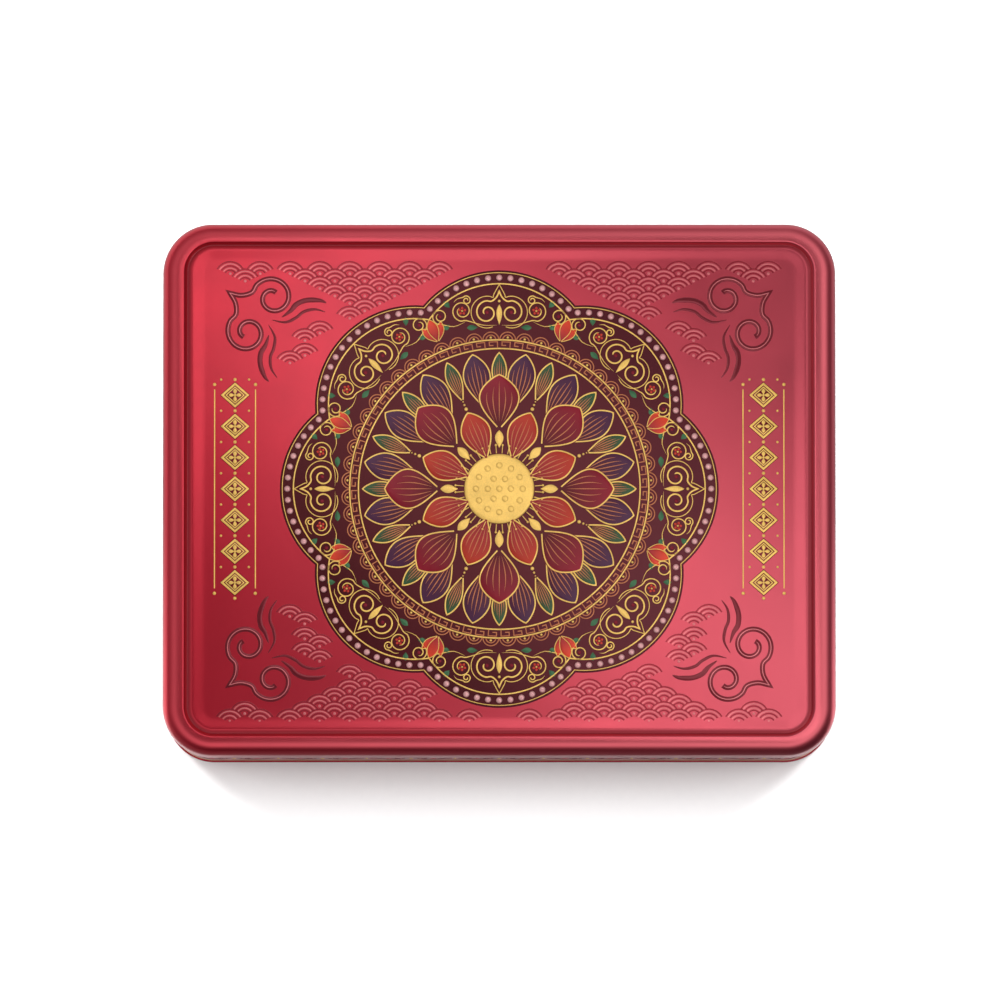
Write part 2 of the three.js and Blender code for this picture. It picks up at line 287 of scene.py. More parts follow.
def make_piece(name, plan, finish, slot, *nodes):
    """The plan as a smooth mesh object that rides on the tin and stands for the given nodes."""
    mesh = bpy.data.meshes.new(name)
    mesh.from_pydata([[value * MM for value in point] for point in plan.points], [], plan.faces)
    mesh.attributes.new(SHARE, "FLOAT", "POINT").data.foreach_set("value", plan.shares)
    shaped = bmesh.new()
    shaped.from_mesh(mesh)
    bmesh.ops.recalc_face_normals(shaped, faces=shaped.faces)
    shaped.to_mesh(mesh)
    shaped.free()
    mesh.shade_smooth()
    mesh.set_sharp_from_angle(angle=SHARP_ANGLE)
    mesh.materials.append(kept_material(finish))
    piece = bpy.data.objects.new(name, mesh)
    bpy.context.scene.collection.objects.link(piece)
    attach(piece, "root")
    if nodes:
        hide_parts(*nodes)
    return piece


def flat(u, v, h):
    """The placing of a motif that is drawn where it lies."""
    return (u, v, h)


def turned(heading, x=0.0, y=0.0, side=1):
    """The placing of a motif that is mirrored if side is -1, turned by heading and moved."""
    cos, sin = math.cos(heading), math.sin(heading)

    def place(u, v, h):
        across = v * side
        return (x + u * cos - across * sin, y + u * sin + across * cos, h)

    return place


def arc(u, v, radius, start, end, steps):
    """Points of a round about (u, v), both ends included."""
    angles = (start + (end - start) * step / steps for step in range(steps + 1))
    return [(u + radius * math.cos(angle), v + radius * math.sin(angle)) for angle in angles]


def circle(radius, steps, ground):
    return [(*point, ground) for point in arc(0, 0, radius, 0, TURN, steps)[:-1]]


def spiral(u, v, outer, inner, start, turns, steps):
    """Points of a scroll about (u, v) that winds in from its outer radius to its inner one."""
    points = []
    for step in range(steps + 1):
        share = step / steps
        radius = outer + (inner - outer) * share
        angle = start + turns * TURN * share
        points.append((u + radius * math.cos(angle), v + radius * math.sin(angle)))
    return points


def smooth(points, steps):
    """A curve through all the points, with this many steps between each two."""
    ends = [points[0], *points, points[-1]]
    curve = []
    for a, b, c, d in zip(ends, ends[1:], ends[2:], ends[3:]):
        for step in range(steps):
            t = step / steps
            curve.append(tuple(
                0.5 * (2 * q + (r - p) * t + (2 * p - 5 * q + 4 * r - s) * t * t
                       + (3 * q - p - 3 * r + s) * t ** 3)
                for p, q, r, s in zip(a, b, c, d)
            ))
    return [*curve, tuple(points[-1])]


def raised(points, ground):
    return [(u, v, ground) for u, v in points]


def strip(plan, path, width, rise, place=flat, closed=False, taper=0.0):
    """A low crowned ribbon along a path of (u, v, ground), thinned over the taper share of its ends."""
    rings = []
    last = len(path) - 1
    for index, (u, v, ground) in enumerate(path):
        before = path[index - 1] if closed or index else path[index]
        after = path[(index + 1) % len(path)] if closed or index < last else path[index]
        back = Vector((u - before[0], v - before[1])).normalized()
        on = Vector((after[0] - u, after[1] - v)).normalized()
        way = (back + on).normalized() if (back + on).length > NO_LENGTH else on
        reach = max(MITRE_LIMIT, abs(way.dot(on if on.length else back)))
        full = 1.0
        if taper:
            share = index / last
            full = max(TAPERED_WIDTH, min(1.0, share / taper, (1 - share) / taper) ** TAPER_POWER)
        half = width / 2 * full / reach
        height = rise * math.sqrt(full)
        section = [(-1, -ROOT_DEPTH), *((s, h * height) for s, h in STRIP_SECTION), (1, -ROOT_DEPTH)]
        rings.append([
            place(u - way.y * half * side, v + way.x * half * side, ground + up)
            for side, up in section
        ])
    plan.loft(rings, closed)


def dome(plan, u, v, ground, radius, rise, place=flat, sides=12):
    """A low round dome."""
    plan.loft([
        [place(*point, ground + rise * level) for point in arc(u, v, radius * share, 0, TURN, sides)[:-1]]
        for share, level in ((1, -ROOT_DEPTH / rise), (1, 0.0), *DOME_RINGS)
    ])


def soften(corners):
    """A profile of (inset, z, radius) as points, with each corner rounded within its radius."""
    points = []
    for index, (inset, z, radius) in enumerate(corners):
        if not radius:
            points.append((inset, z))
            continue
        corner = Vector((inset, z))
        ends = []
        for other in (corners[index - 1], corners[index + 1]):
            way = Vector(other[:2]) - corner
            ends.append(corner + way.normalized() * min(radius, FILLET_SHARE * way.length))
        for step in range(FILLET_STEPS + 1):
            t = step / FILLET_STEPS
            point = ends[0] * (1 - t) ** 2 + corner * 2 * t * (1 - t) + ends[1] * t ** 2
            points.append(tuple(point))
    return points


def corner_middle(inset):
    """The middle of the round of the back right corner, for an outline that is set in."""
    radius = size("corner_radius") - inset
    return TIN_WIDTH / 2 - inset * INSET_ACROSS - radius, TIN_DEPTH / 2 - inset * INSET_ALONG - radius


def outline_ring(inset, z):
    """The tin's outline, set in from the lid's own, at height z."""
    radius = size("corner_radius") - inset
    across, along = corner_middle(inset)
    ring = []
    for corner, (x, y) in enumerate(((1, 1), (-1, 1), (-1, -1), (1, -1))):
        start = corner * TURN / 4
        ring += arc(x * across, y * along, radius, start, start + TURN / 4, CORNER_STEPS)
    return raised(ring, z)


def tin_rings(profile):
    return [outline_ring(inset, z) for inset, z in profile]


def under_shoulder(depth, z):
    """From a flat top at height z down a round that follows the shoulder, this deep behind its face."""
    shoulder = size("shoulder_radius")
    foot = TIN_HEIGHT - shoulder
    radius = shoulder - depth
    start = math.pi - math.asin((z - foot) / radius)
    return arc(shoulder, foot, radius, start, math.pi, SHOULDER_STEPS // 2)


def wall_place(inset):
    """A placing onto the upright walls: u runs along them from the middle of the front, v is up."""
    radius = size("corner_radius") - inset
    across, along = corner_middle(inset)
    quarter = TURN / 4 * radius
    sides = ((across, -along, 0, 2 * across), (across, along, 1, 2 * along),
             (-across, along, 2, 2 * across), (-across, -along, 3, 2 * along))

    def place(u, v, h):
        left = (u + across) % perimeter
        for x, y, side, length in sides:
            out = (side - 1) * TURN / 4
            if left <= length:
                back = length - left
                return (
                    x + (radius + h) * math.cos(out) - back * math.cos(out + TURN / 4),
                    y + (radius + h) * math.sin(out) - back * math.sin(out + TURN / 4),
                    v,
                )
            left -= length
            if left <= quarter:
                angle = out + left / radius
                return (x + (radius + h) * math.cos(angle), y + (radius + h) * math.sin(angle), v)
            left -= quarter
        # Rounding can leave a hair's breadth over, which is the start again
        return place(0.0, v, h)

    perimeter = 4 * across + 4 * along + 4 * quarter
    return place, perimeter


def lobe_swing(radius):
    """How far a lobe's arc of this radius swings each side of the lobe's heading."""
    return HALF_LOBE + math.asin(LOBE_CENTRE * math.sin(HALF_LOBE) / radius)


def lobed_ring(inset, z):
    """The medallion's outline, set in by inset, at height z."""
    radius = size("lobe_radius") - inset
    swing = lobe_swing(radius)
    ring = []
    for lobe in range(LOBES):
        heading = lobe * 2 * HALF_LOBE
        x, y = LOBE_CENTRE * math.cos(heading), LOBE_CENTRE * math.sin(heading)
        ring += arc(x, y, radius, heading - swing, heading + swing, LOBE_STEPS)[:-1]
    return raised(ring, z)


def petal_point(petal, share, across):
    """A point of a petal's back: share runs from its root to its tip, across from side to side."""
    fullness = math.sin(math.pi * share ** PETAL_FULLNESS) ** PETAL_BLUNTNESS
    crest = petal.rise * math.sqrt(fullness)
    return (
        petal.start + (petal.end - petal.start) * share,
        across * petal.width / 2 * fullness,
        petal.edge + crest * (1 - across ** 4),
    )


def petal_body(plan, petal, ground, place, rows=PETAL_ROWS):
    rings = []
    shares = []
    columns = rows // 2
    for row in range(rows + 1):
        share = min(max(row / rows, PETAL_BODY[0]), PETAL_BODY[1])
        section = []
        for column in range(columns + 1):
            u, v, h = petal_point(petal, share, 2 * column / columns - 1)
            section.append(place(u, v, ground + h))
        u, v, _ = petal_point(petal, share, 1)
        section += [place(u, v, ground - ROOT_DEPTH), place(u, -v, ground - ROOT_DEPTH)]
        rings.append(section)
        shares.append(share)
    plan.loft(rings, shares=shares)


def petal_edge(petal, ground):
    """The path just inside a petal's edge, from its root round the tip and back."""
    side = petal_vein(petal, ground, OUTLINE_ACROSS, *PETAL_OUTLINE, PETAL_ROWS)
    tip = (petal.end, 0.0, ground + petal.edge)
    return [*side, tip, *((u, -v, h) for u, v, h in reversed(side))]


def petal_vein(petal, ground, across, start, end, steps=12):
    """A path along a petal's back, from one share of its length to another."""
    path = []
    for step in range(steps + 1):
        u, v, h = petal_point(petal, start + (end - start) * step / steps, across)
        path.append((u, v, ground + h))
    return path


def around(count, turn=0.0):
    """Headings spread evenly round a circle, from a share of one step."""
    return [(index + turn) * TURN / count for index in range(count)]


# Materials


def add_node(tree, kind, inputs=None, **settings):
    """A node with its settings, and its inputs given as values or as sockets to link."""
    node = tree.nodes.new(kind)
    for name, value in settings.items():
        setattr(node, name, value)
    for name, value in (inputs or {}).items():
        if isinstance(value, bpy.types.NodeSocket):
            tree.links.new(value, node.inputs[name])
        else:
            node.inputs[name].default_value = value
    return node


def new_group(name, inputs, outputs):
    """An empty shader group with named sockets, given as {name: (kind, default)} and {name: kind}."""
    tree = bpy.data.node_groups.new(name, "ShaderNodeTree")
    for socket, (kind, default) in inputs.items():
        made = tree.interface.new_socket(socket, in_out="INPUT", socket_type=kind)
        made.default_value = default
    for socket, kind in outputs.items():
        tree.interface.new_socket(socket, in_out="OUTPUT", socket_type=kind)
    source = tree.nodes.new("NodeGroupInput")
    sink = tree.nodes.new("NodeGroupOutput")
    return tree, source.outputs, sink.inputs


def math_node(tree, operation, *values):
    return add_node(tree, "ShaderNodeMath", dict(enumerate(values)), operation=operation).outputs[0]


def map_range(tree, value, before, after=(0.0, 1.0)):
    """A value spread from one range to another, and held within it."""
    limits = dict(zip(("From Min", "From Max", "To Min", "To Max"), (*before, *after)))
    return add_node(tree, "ShaderNodeMapRange", {"Value": value, **limits}).outputs[0]


def mix_colour(tree, factor, first, second, blend="MIX"):
    node = add_node(
        tree, "ShaderNodeMix", {"Factor": factor, "A": first, "B": second}, data_type="RGBA",
        blend_type=blend,
    )
    return node.outputs["Result"]


GRAIN_STRETCH = (0.12, 1, 1)
# The middle part of a noise that is spread from none to all of the thin colour
NOISE_SPREAD = (0.3, 0.7)
THIN_ROUGHER = 0.12


def sheet_relief_group():
    """Height of pressed sheet in metres: soft waves, and a fine grain drawn out along X."""
    kinds = {
        "Wave Size": ("NodeSocketFloat", 0.06), "Wave Depth": ("NodeSocketFloat", 0.0001),
        "Grain Size": ("NodeSocketFloat", 0.0006), "Grain Depth": ("NodeSocketFloat", 0.000001),
    }
    tree, given, out = new_group("sheet relief", kinds, {"Height": "NodeSocketFloat"})
    place = add_node(tree, "ShaderNodeTexCoord").outputs["Object"]
    heights = []
    for part, stretch, detail in (("Wave", (1, 1, 1), 1.0), ("Grain", GRAIN_STRETCH, 3.0)):
        stretched = add_node(tree, "ShaderNodeVectorMath", {0: place, 1: stretch}, operation="MULTIPLY")
        scale = math_node(tree, "DIVIDE", 1.0, given[part + " Size"])
        noise = add_node(
            tree, "ShaderNodeTexNoise",
            {"Vector": stretched.outputs[0], "Scale": scale, "Detail": detail},
        )
        heights.append(math_node(tree, "MULTIPLY", noise.outputs[0], given[part + " Depth"]))
    tree.links.new(math_node(tree, "ADD", *heights), out["Height"])
    return tree


def ink_group():
    """Ink that lies unevenly: broad clouding and fine specks towards a second colour."""
    kinds = {
        "Color": ("NodeSocketColor", (1, 1, 1, 1)), "Thin Color": ("NodeSocketColor", (1, 1, 1, 1)),
        "Cloud Size": ("NodeSocketFloat", 0.02), "Cloud Amount": ("NodeSocketFloat", 0.3),
        "Speck Size": ("NodeSocketFloat", 0.0005), "Speck Amount": ("NodeSocketFloat", 0.2),
        "Roughness": ("NodeSocketFloat", 0.35),
    }
    outputs = {"Color": "NodeSocketColor", "Roughness": "NodeSocketFloat"}
    tree, given, out = new_group("uneven ink", kinds, outputs)
    place = add_node(tree, "ShaderNodeTexCoord").outputs["Object"]
    masks = []
    for part in ("Cloud", "Speck"):
        scale = math_node(tree, "DIVIDE", 1.0, given[part + " Size"])
        noise = add_node(tree, "ShaderNodeTexNoise", {"Vector": place, "Scale": scale, "Detail": 2.0})
        spread = map_range(tree, noise.outputs[0], NOISE_SPREAD)
        masks.append(math_node(tree, "MULTIPLY", spread, given[part + " Amount"]))
    thin = math_node(tree, "ADD", *masks)
    tree.links.new(mix_colour(tree, thin, given["Color"], given["Thin Color"]), out["Color"])
    rougher = math_node(tree, "MULTIPLY_ADD", thin, THIN_ROUGHER, given["Roughness"])
    tree.links.new(rougher, out["Roughness"])
    return tree


def shared_group(name, build):
    return bpy.data.node_groups.get(name) or build()


# Where painted light starts to turn the lacquers to a paler colour, and where they have turned, along X
PAINTED_LIGHT_SPAN = (-0.12, 0.12)
# How strongly the frame's painted highlight shows at the left and at the right
FRAME_HIGHLIGHT_SHOWS = (0.45, 1.5)


def painted_light_across(tree, left, right):
    """A value that goes from left to right along the tin's X, for light painted stronger at the right."""
    place = add_node(tree, "ShaderNodeTexCoord").outputs["Object"]
    axes = add_node(tree, "ShaderNodeSeparateXYZ", {0: place}).outputs
    return map_range(tree, axes["X"], PAINTED_LIGHT_SPAN, (left, right))


def new_material(name, ink, relief, shader, right=None, tip=None, low=None):
    """A lacquer or ink over sheet: uneven colour and roughness, a pressed surface, and gloss.

    Its colour turns to right from the tin's left to its right side, as painted light that is paler on
    the right. It moves towards tip as the mesh's share rises to 1, which on the lid is painted shade
    in the groove, and towards low as it falls to -1, a painted highlight on the frame, more so at the
    right. Each of the three is a colour's name, and a factor may follow it.
    """
    material = bpy.data.materials.new(name)
    material.use_nodes = True
    tree = material.node_tree
    gloss = tree.nodes["Principled BSDF"]
    for socket, value in shader.items():
        gloss.inputs[socket].default_value = value
    inks = add_node(tree, "ShaderNodeGroup", node_tree=shared_group("uneven ink", ink_group))
    for socket, value in ink.items():
        inks.inputs[socket].default_value = value
    colours = inks.outputs["Color"]
    # Painted light: the colour turns paler towards the right
    if right:
        colours = mix_colour(tree, painted_light_across(tree, 0.0, 1.0), colours, colour(*right))
    share = add_node(tree, "ShaderNodeAttribute", attribute_name=SHARE).outputs["Fac"]
    # On the lid, the tip colour is painted shade in the groove
    if tip:
        colours = mix_colour(tree, share, colours, colour(*tip))
    if low:
        # Painted highlight on the raised frame, stronger at the right
        shown = painted_light_across(tree, *(-value for value in FRAME_HIGHLIGHT_SHOWS))
        frame_highlight = math_node(tree, "MULTIPLY", share, shown)
        colours = mix_colour(tree, frame_highlight, colours, colour(*low))
    tree.links.new(colours, gloss.inputs["Base Color"])
    tree.links.new(inks.outputs["Roughness"], gloss.inputs["Roughness"])
    relief_tree = shared_group("sheet relief", sheet_relief_group)
    sheet = add_node(tree, "ShaderNodeGroup", node_tree=relief_tree)
    for socket, value in relief.items():
        sheet.inputs[socket].default_value = value
    bump = add_node(tree, "ShaderNodeBump", {"Height": sheet.outputs["Height"], "Distance": 1.0})
    tree.links.new(bump.outputs["Normal"], gloss.inputs["Normal"])
    return material


def lacquer(name, shade, metallic=0.94, roughness=0.28, coat=0.6, thin=0.8, grain=1e-6, **ways):
    """Clear coloured lacquer over bright tinplate."""
    ink = {
        "Color": colour(shade), "Thin Color": colour(shade, thin),
        "Cloud Size": 0.03, "Cloud Amount": 0.5,
        "Speck Size": 0.003, "Speck Amount": 0.1, "Roughness": roughness,
    }
    relief = {"Wave Size": 0.07, "Wave Depth": 8e-5, "Grain Size": 0.004, "Grain Depth": grain}
    shader = {"Metallic": metallic, "Coat Weight": coat, "Coat Roughness": 0.25, "Coat IOR": 1.6}
    return new_material(name, ink, relief, shader, **ways)


def print_ink(name, shade, tip=None, metallic=0.85, roughness=0.36, thin=0.62):
    """Metallic ink in fine relief, with visible flake."""
    ink = {
        "Color": colour(shade), "Thin Color": colour(shade, thin),
        "Cloud Size": 0.008, "Cloud Amount": 0.3,
        "Speck Size": 0.0005, "Speck Amount": 0.35, "Roughness": roughness,
    }
    relief = {"Wave Size": 0.01, "Wave Depth": 1e-5, "Grain Size": 0.0005, "Grain Depth": 2e-6}
    shader = {"Metallic": metallic, "Coat Weight": 0.3, "Coat Roughness": 0.15, "Coat IOR": 1.5}
    return new_material(name, ink, relief, shader, tip=tip)


# Painted shade in the lid's groove, as a share of the lid red
PAINTED_GROOVE_SHADE = 0.4
ACCENT_METALLIC = 0.8
# What makes each finish, its colour, and what sets it apart from others that are made like it
FINISHES = {
    # Painted light: the lid red darkens in the groove and pales on the frame; lid, base and plum pale to
    # the right
    "red lacquer": (lacquer, "lid_red", {
        "right": ("lit_side_red",), "tip": ("lid_red", PAINTED_GROOVE_SHADE), "low": ("frame_highlight_red",),
    }),
    "base lacquer": (lacquer, "base_red", {"right": ("lit_side_base_red",)}),
    "shade red": (lacquer, "shade_red", {"roughness": 0.3}),
    "wave red": (lacquer, "wave_red", {"roughness": 0.3}),
    "blush": (lacquer, "blush", {}),
    "plum lacquer": (lacquer, "plum", {
        "roughness": 0.3, "coat": 0.22, "thin": 1.3, "right": ("lit_side_plum",),
    }),
    "bare tinplate": (lacquer, "tinplate", {
        "metallic": 1.0, "roughness": 0.3, "coat": 0.0, "thin": 0.9, "grain": 1.2e-5,
    }),
    "gold print": (print_ink, "gold", {}),
    "copper print": (print_ink, "copper", {}),
    "rose ink": (print_ink, "rose", {"roughness": 0.4}),
    "sepals ink": (print_ink, "plum", {"tip": ("jade", 0.9), "metallic": ACCENT_METALLIC}),
    "outer_petals ink": (print_ink, "plum", {"tip": ("violet",), "metallic": ACCENT_METALLIC}),
    "middle_petals ink": (print_ink, "plum", {"tip": ("shade_red",), "metallic": ACCENT_METALLIC}),
    "inner_petals ink": (print_ink, "shade_red", {
        "tip": ("vermilion", 0.7), "metallic": ACCENT_METALLIC,
    }),
    "jade ink": (print_ink, "jade", {"tip": ("jade", 1.5), "metallic": ACCENT_METALLIC}),
    "vermilion ink": (print_ink, "shade_red", {
        "tip": ("vermilion", 1.2), "metallic": ACCENT_METALLIC,
    }),
}


def kept_material(finish):
    """The material of a finish, made when it is first asked for."""
    make, shade, ways = FINISHES[finish]
    return bpy.data.materials.get(finish) or make(finish, shade, **ways)


# Pieces


# The painted highlight on the raised frame: how much, where, how far and how soon in full
FRAME_PAINTED_HIGHLIGHT = 0.55
FRAME_MIDDLE = 5.2
FRAME_REACH = 3.0
FRAME_FULLNESS = 1.6


def painted_shade_and_highlight(inset, z):
    """Painted light on the lid: shade up to 1 in the groove, a highlight below 0 on the raised frame."""
    if z < CEILING:
        return 0.0
    groove = max(0.0, 1 - abs(inset - GROOVE_INSET) / GROOVE_HALF_WIDTH)
    frame_share = max(0.0, 1 - abs(inset - FRAME_MIDDLE) / FRAME_REACH)
    return groove - FRAME_PAINTED_HIGHLIGHT * min(1.0, FRAME_FULLNESS * frame_share) * (1 - groove)


def lid_sheet():
    """The lid: ceiling, inner wall, hem, skirt, shoulder, frame, groove and panel."""
    shoulder = size("shoulder_radius")
    hem = TIN_HEIGHT - size("skirt_depth") + HEM_RADIUS
    half_floor = GROOVE_HALF_WIDTH * GROOVE_FLOOR_SHARE
    groove = TIN_HEIGHT - GROOVE_DEPTH
    pressed = soften([
        (shoulder, TIN_HEIGHT, 0),
        (GROOVE_INSET - GROOVE_HALF_WIDTH, TIN_HEIGHT, GROOVE_ROUND),
        (GROOVE_INSET - half_floor, groove, GROOVE_ROUND),
        (GROOVE_INSET + half_floor, groove, GROOVE_ROUND),
        (GROOVE_INSET + GROOVE_HALF_WIDTH, TIN_HEIGHT - PANEL_LIP_DROP, GROOVE_ROUND),
        (PANEL_LIP_INSET, TIN_HEIGHT - PANEL_LIP_DROP, LIP_ROUND),
        (PANEL_INSET, PANEL, PANEL_ROUND),
        (PANEL_INSET + PANEL_EDGE, PANEL, 0),
    ])
    profile = [
        *under_shoulder(LID_WALL, CEILING),
        *arc(HEM_RADIUS, hem, HEM_RADIUS, 0, -math.pi, HEM_STEPS),
        *arc(shoulder, TIN_HEIGHT - shoulder, shoulder, math.pi, math.pi / 2, SHOULDER_STEPS),
        *pressed[1:],
    ]
    plan = MeshPlan()
    # The shares paint shade into the groove and a highlight onto the raised frame
    plan.loft(tin_rings(profile), shares=[painted_shade_and_highlight(*point) for point in profile])
    make_piece("lid_sheet", plan, "red lacquer", "red_lacquer", "lid")


def base_shell():
    """The base's body, with the rolled seam that it stands on."""
    wall = LID_WALL + SLIP_GAP
    seam = wall - SEAM_PROUD
    inner = seam + SEAM_EDGE + SEAM_WIDTH
    inside, outside, top, root = SEAM_ROUNDS
    rolled = soften([
        (inner, FLOOR_RECESS, 0),
        (inner, 0, inside),
        (seam, 0, outside),
        (seam, SEAM_HEIGHT, top),
        (wall, SEAM_HEIGHT + SEAM_EDGE / 2, root),
        (wall, SEAM_HEIGHT + 2 * SEAM_EDGE, 0),
    ])
    profile = [*rolled, *reversed(under_shoulder(wall, CEILING - SLIP_GAP))]
    plan = MeshPlan()
    plan.loft(tin_rings(profile))
    make_piece("base_shell", plan, "base lacquer", "base_lacquer", "base")


BOTTOM_SAG = 0.3
# From inside the seam down to the bottom's face: how far in from the seam, how high, and rounding
BOTTOM_RIM = ((-0.2, 0.4, 0), (0, 0.1, 0.2), (1, -BOTTOM_SAG, 0.5))
BOTTOM_RING_INSET = 12.5
BOTTOM_RING_WIDTH = 5
BOTTOM_RING_DEPTH = 0.8
# Radii of the rounds at the ring's edges and at its floor, and how far the face goes on inside it
BOTTOM_RING_EDGE = 1.2
BOTTOM_RING_FLOOR = 1.0
BOTTOM_INSIDE = 2


def base_bottom():
    """The bare underside, with one ring pressed into it to stiffen it."""
    rim = LID_WALL + SLIP_GAP - SEAM_PROUD + SEAM_EDGE + SEAM_WIDTH
    face = FLOOR_RECESS - BOTTOM_SAG
    ring = BOTTOM_RING_INSET - BOTTOM_RING_WIDTH / 2
    profile = soften([
        *((rim + inset, FLOOR_RECESS + up, radius) for inset, up, radius in BOTTOM_RIM),
        (ring, face, BOTTOM_RING_EDGE),
        (ring + BOTTOM_RING_WIDTH / 3, face - BOTTOM_RING_DEPTH, BOTTOM_RING_FLOOR),
        (ring + BOTTOM_RING_WIDTH * 2 / 3, face - BOTTOM_RING_DEPTH, BOTTOM_RING_FLOOR),
        (ring + BOTTOM_RING_WIDTH, face, BOTTOM_RING_EDGE),
        (ring + BOTTOM_RING_WIDTH + BOTTOM_INSIDE, face, 0),
    ])
    plan = MeshPlan()
    plan.loft(tin_rings(profile))
    make_piece("base_bottom", plan, "bare tinplate", "bare_tinplate")


# The medallion's edge, from below its foot to its flat top: how far in and how far up
MEDALLION_EDGE = (
    (0, -ROOT_DEPTH), (0, 0), (0.3 * MEDALLION_SLOPE, 0.65 * MEDALLION_RISE),
    (MEDALLION_SLOPE, MEDALLION_RISE), (2 * MEDALLION_SLOPE, MEDALLION_RISE),
)


def medallion_plate():
    plan = MeshPlan()
    plan.loft([lobed_ring(inset, PANEL + up) for inset, up in MEDALLION_EDGE])
    make_piece("medallion_plate", plan, "plum lacquer", "plum_lacquer")


def medallion_beads():
    plan = MeshPlan()
    reach = size("lobe_radius") - BEAD_INSET
    for heading in around(LOBES):
        for bead in range(BEADS_PER_LOBE):
            swing = lobe_swing(reach) * ((2 * bead + 1) / BEADS_PER_LOBE - 1)
            dome(plan, LOBE_CENTRE + reach * math.cos(swing), reach * math.sin(swing), FIELD,
                 size("bead_radius"), BEAD_RISE, turned(heading))
    make_piece("medallion_beads", plan, "rose ink", "rose_beading")


# Lines along the lobes: how far in, and share of the main lines' width
BORDER_LINES = ((5.4, 1.0), (0.95, 0.6))
BORDER_RINGS = (56.5, 60.0)
BORDER_STEPS = 180
FRET_UNITS = 72
FRET_HOOK = ((0.14, 0.0), (0.14, 0.78), (0.78, 0.78), (0.78, 0.36), (0.46, 0.36))
FRET_WIDTH = 0.5
SCALLOPS = 56
SCALLOP_RADII = (3.2, 2.0)
SCALLOP_STEPS = 12
# Round dots: radius, rise
SCALLOP_DOT = (0.5, 0.2)
SCALLOP_DOT_OUT = 1.0


def medallion_border():
    """Gold lines round the medallion's edge, and a copper fret and scallops round the lotus."""
    plan, copper = MeshPlan(), MeshPlan()
    wide, rise = size("line_width"), size("line_rise")
    for inset, share in BORDER_LINES:
        strip(plan, lobed_ring(inset, FIELD), wide * share, rise, closed=True)
    inner, outer = BORDER_RINGS
    for radius in BORDER_RINGS:
        strip(plan, circle(radius, BORDER_STEPS, FIELD), wide, rise, closed=True)
    for heading in around(FRET_UNITS):
        path = []
        for share, level in FRET_HOOK:
            angle = share * TURN / FRET_UNITS
            radius = inner + (outer - inner) * level
            path.append((radius * math.cos(angle), radius * math.sin(angle), FIELD))
        strip(copper, path, FRET_WIDTH, rise, turned(heading))
    for heading in around(SCALLOPS, 0.5):
        place = turned(heading)
        for radius in SCALLOP_RADII:
            path = raised(arc(outer, 0, radius, -TURN / 4, TURN / 4, SCALLOP_STEPS), FIELD)
            strip(copper, path, FRET_WIDTH, rise, place)
        dome(plan, outer + SCALLOP_DOT_OUT, 0, FIELD, *SCALLOP_DOT, place, DOT_SIDES)
    make_piece("medallion_border", plan, "gold print", "gold_print")
    make_piece("medallion_fret", copper, "copper print", "gold_print")


VEINS = (-0.6, -0.3, 0.0, 0.3, 0.6)
VEIN_WIDTH = 0.45
# Shares of a petal where veins start and the middle one ends, and how much sooner others end
VEIN_START = 0.14
VEIN_END = 0.88
VEIN_SHORTER = 0.34
VEIN_TAPER = 0.4
# How high a vein stands, as a share of a gold line's rise
VEIN_RISE = 0.8
SEPAL = Petal(38, 54.8, 6.2, 0.0, 0.14)
POD_LEAF = Petal(16.5, 23.6, 3.4, 0.0, 0.25)
POD_LEAVES = 8
LEAF_ROWS = 12
# Dots between the petals' tips: how far out, and radius
LOTUS_DOTS = ((34.7, 0.75), (36.5, 0.5), (37.9, 0.35))
DOT_RISE = 0.25
LOTUS_DOT_SIDES = 10
STAMENS = 40
STAMEN_REACH = (14.3, 17.6)
STAMEN_LEVEL = 0.52
STAMEN_WIDTH = 0.4
STAMEN_DOT = 0.5
# The pod's edge, from its foot to its flat top: how far in and how far up
POD_EDGE = ((0, -ROOT_DEPTH), (0, 0.2), (0.25, 0.42), (POD_SLOPE, POD_RISE), (2 * POD_SLOPE, POD_RISE))


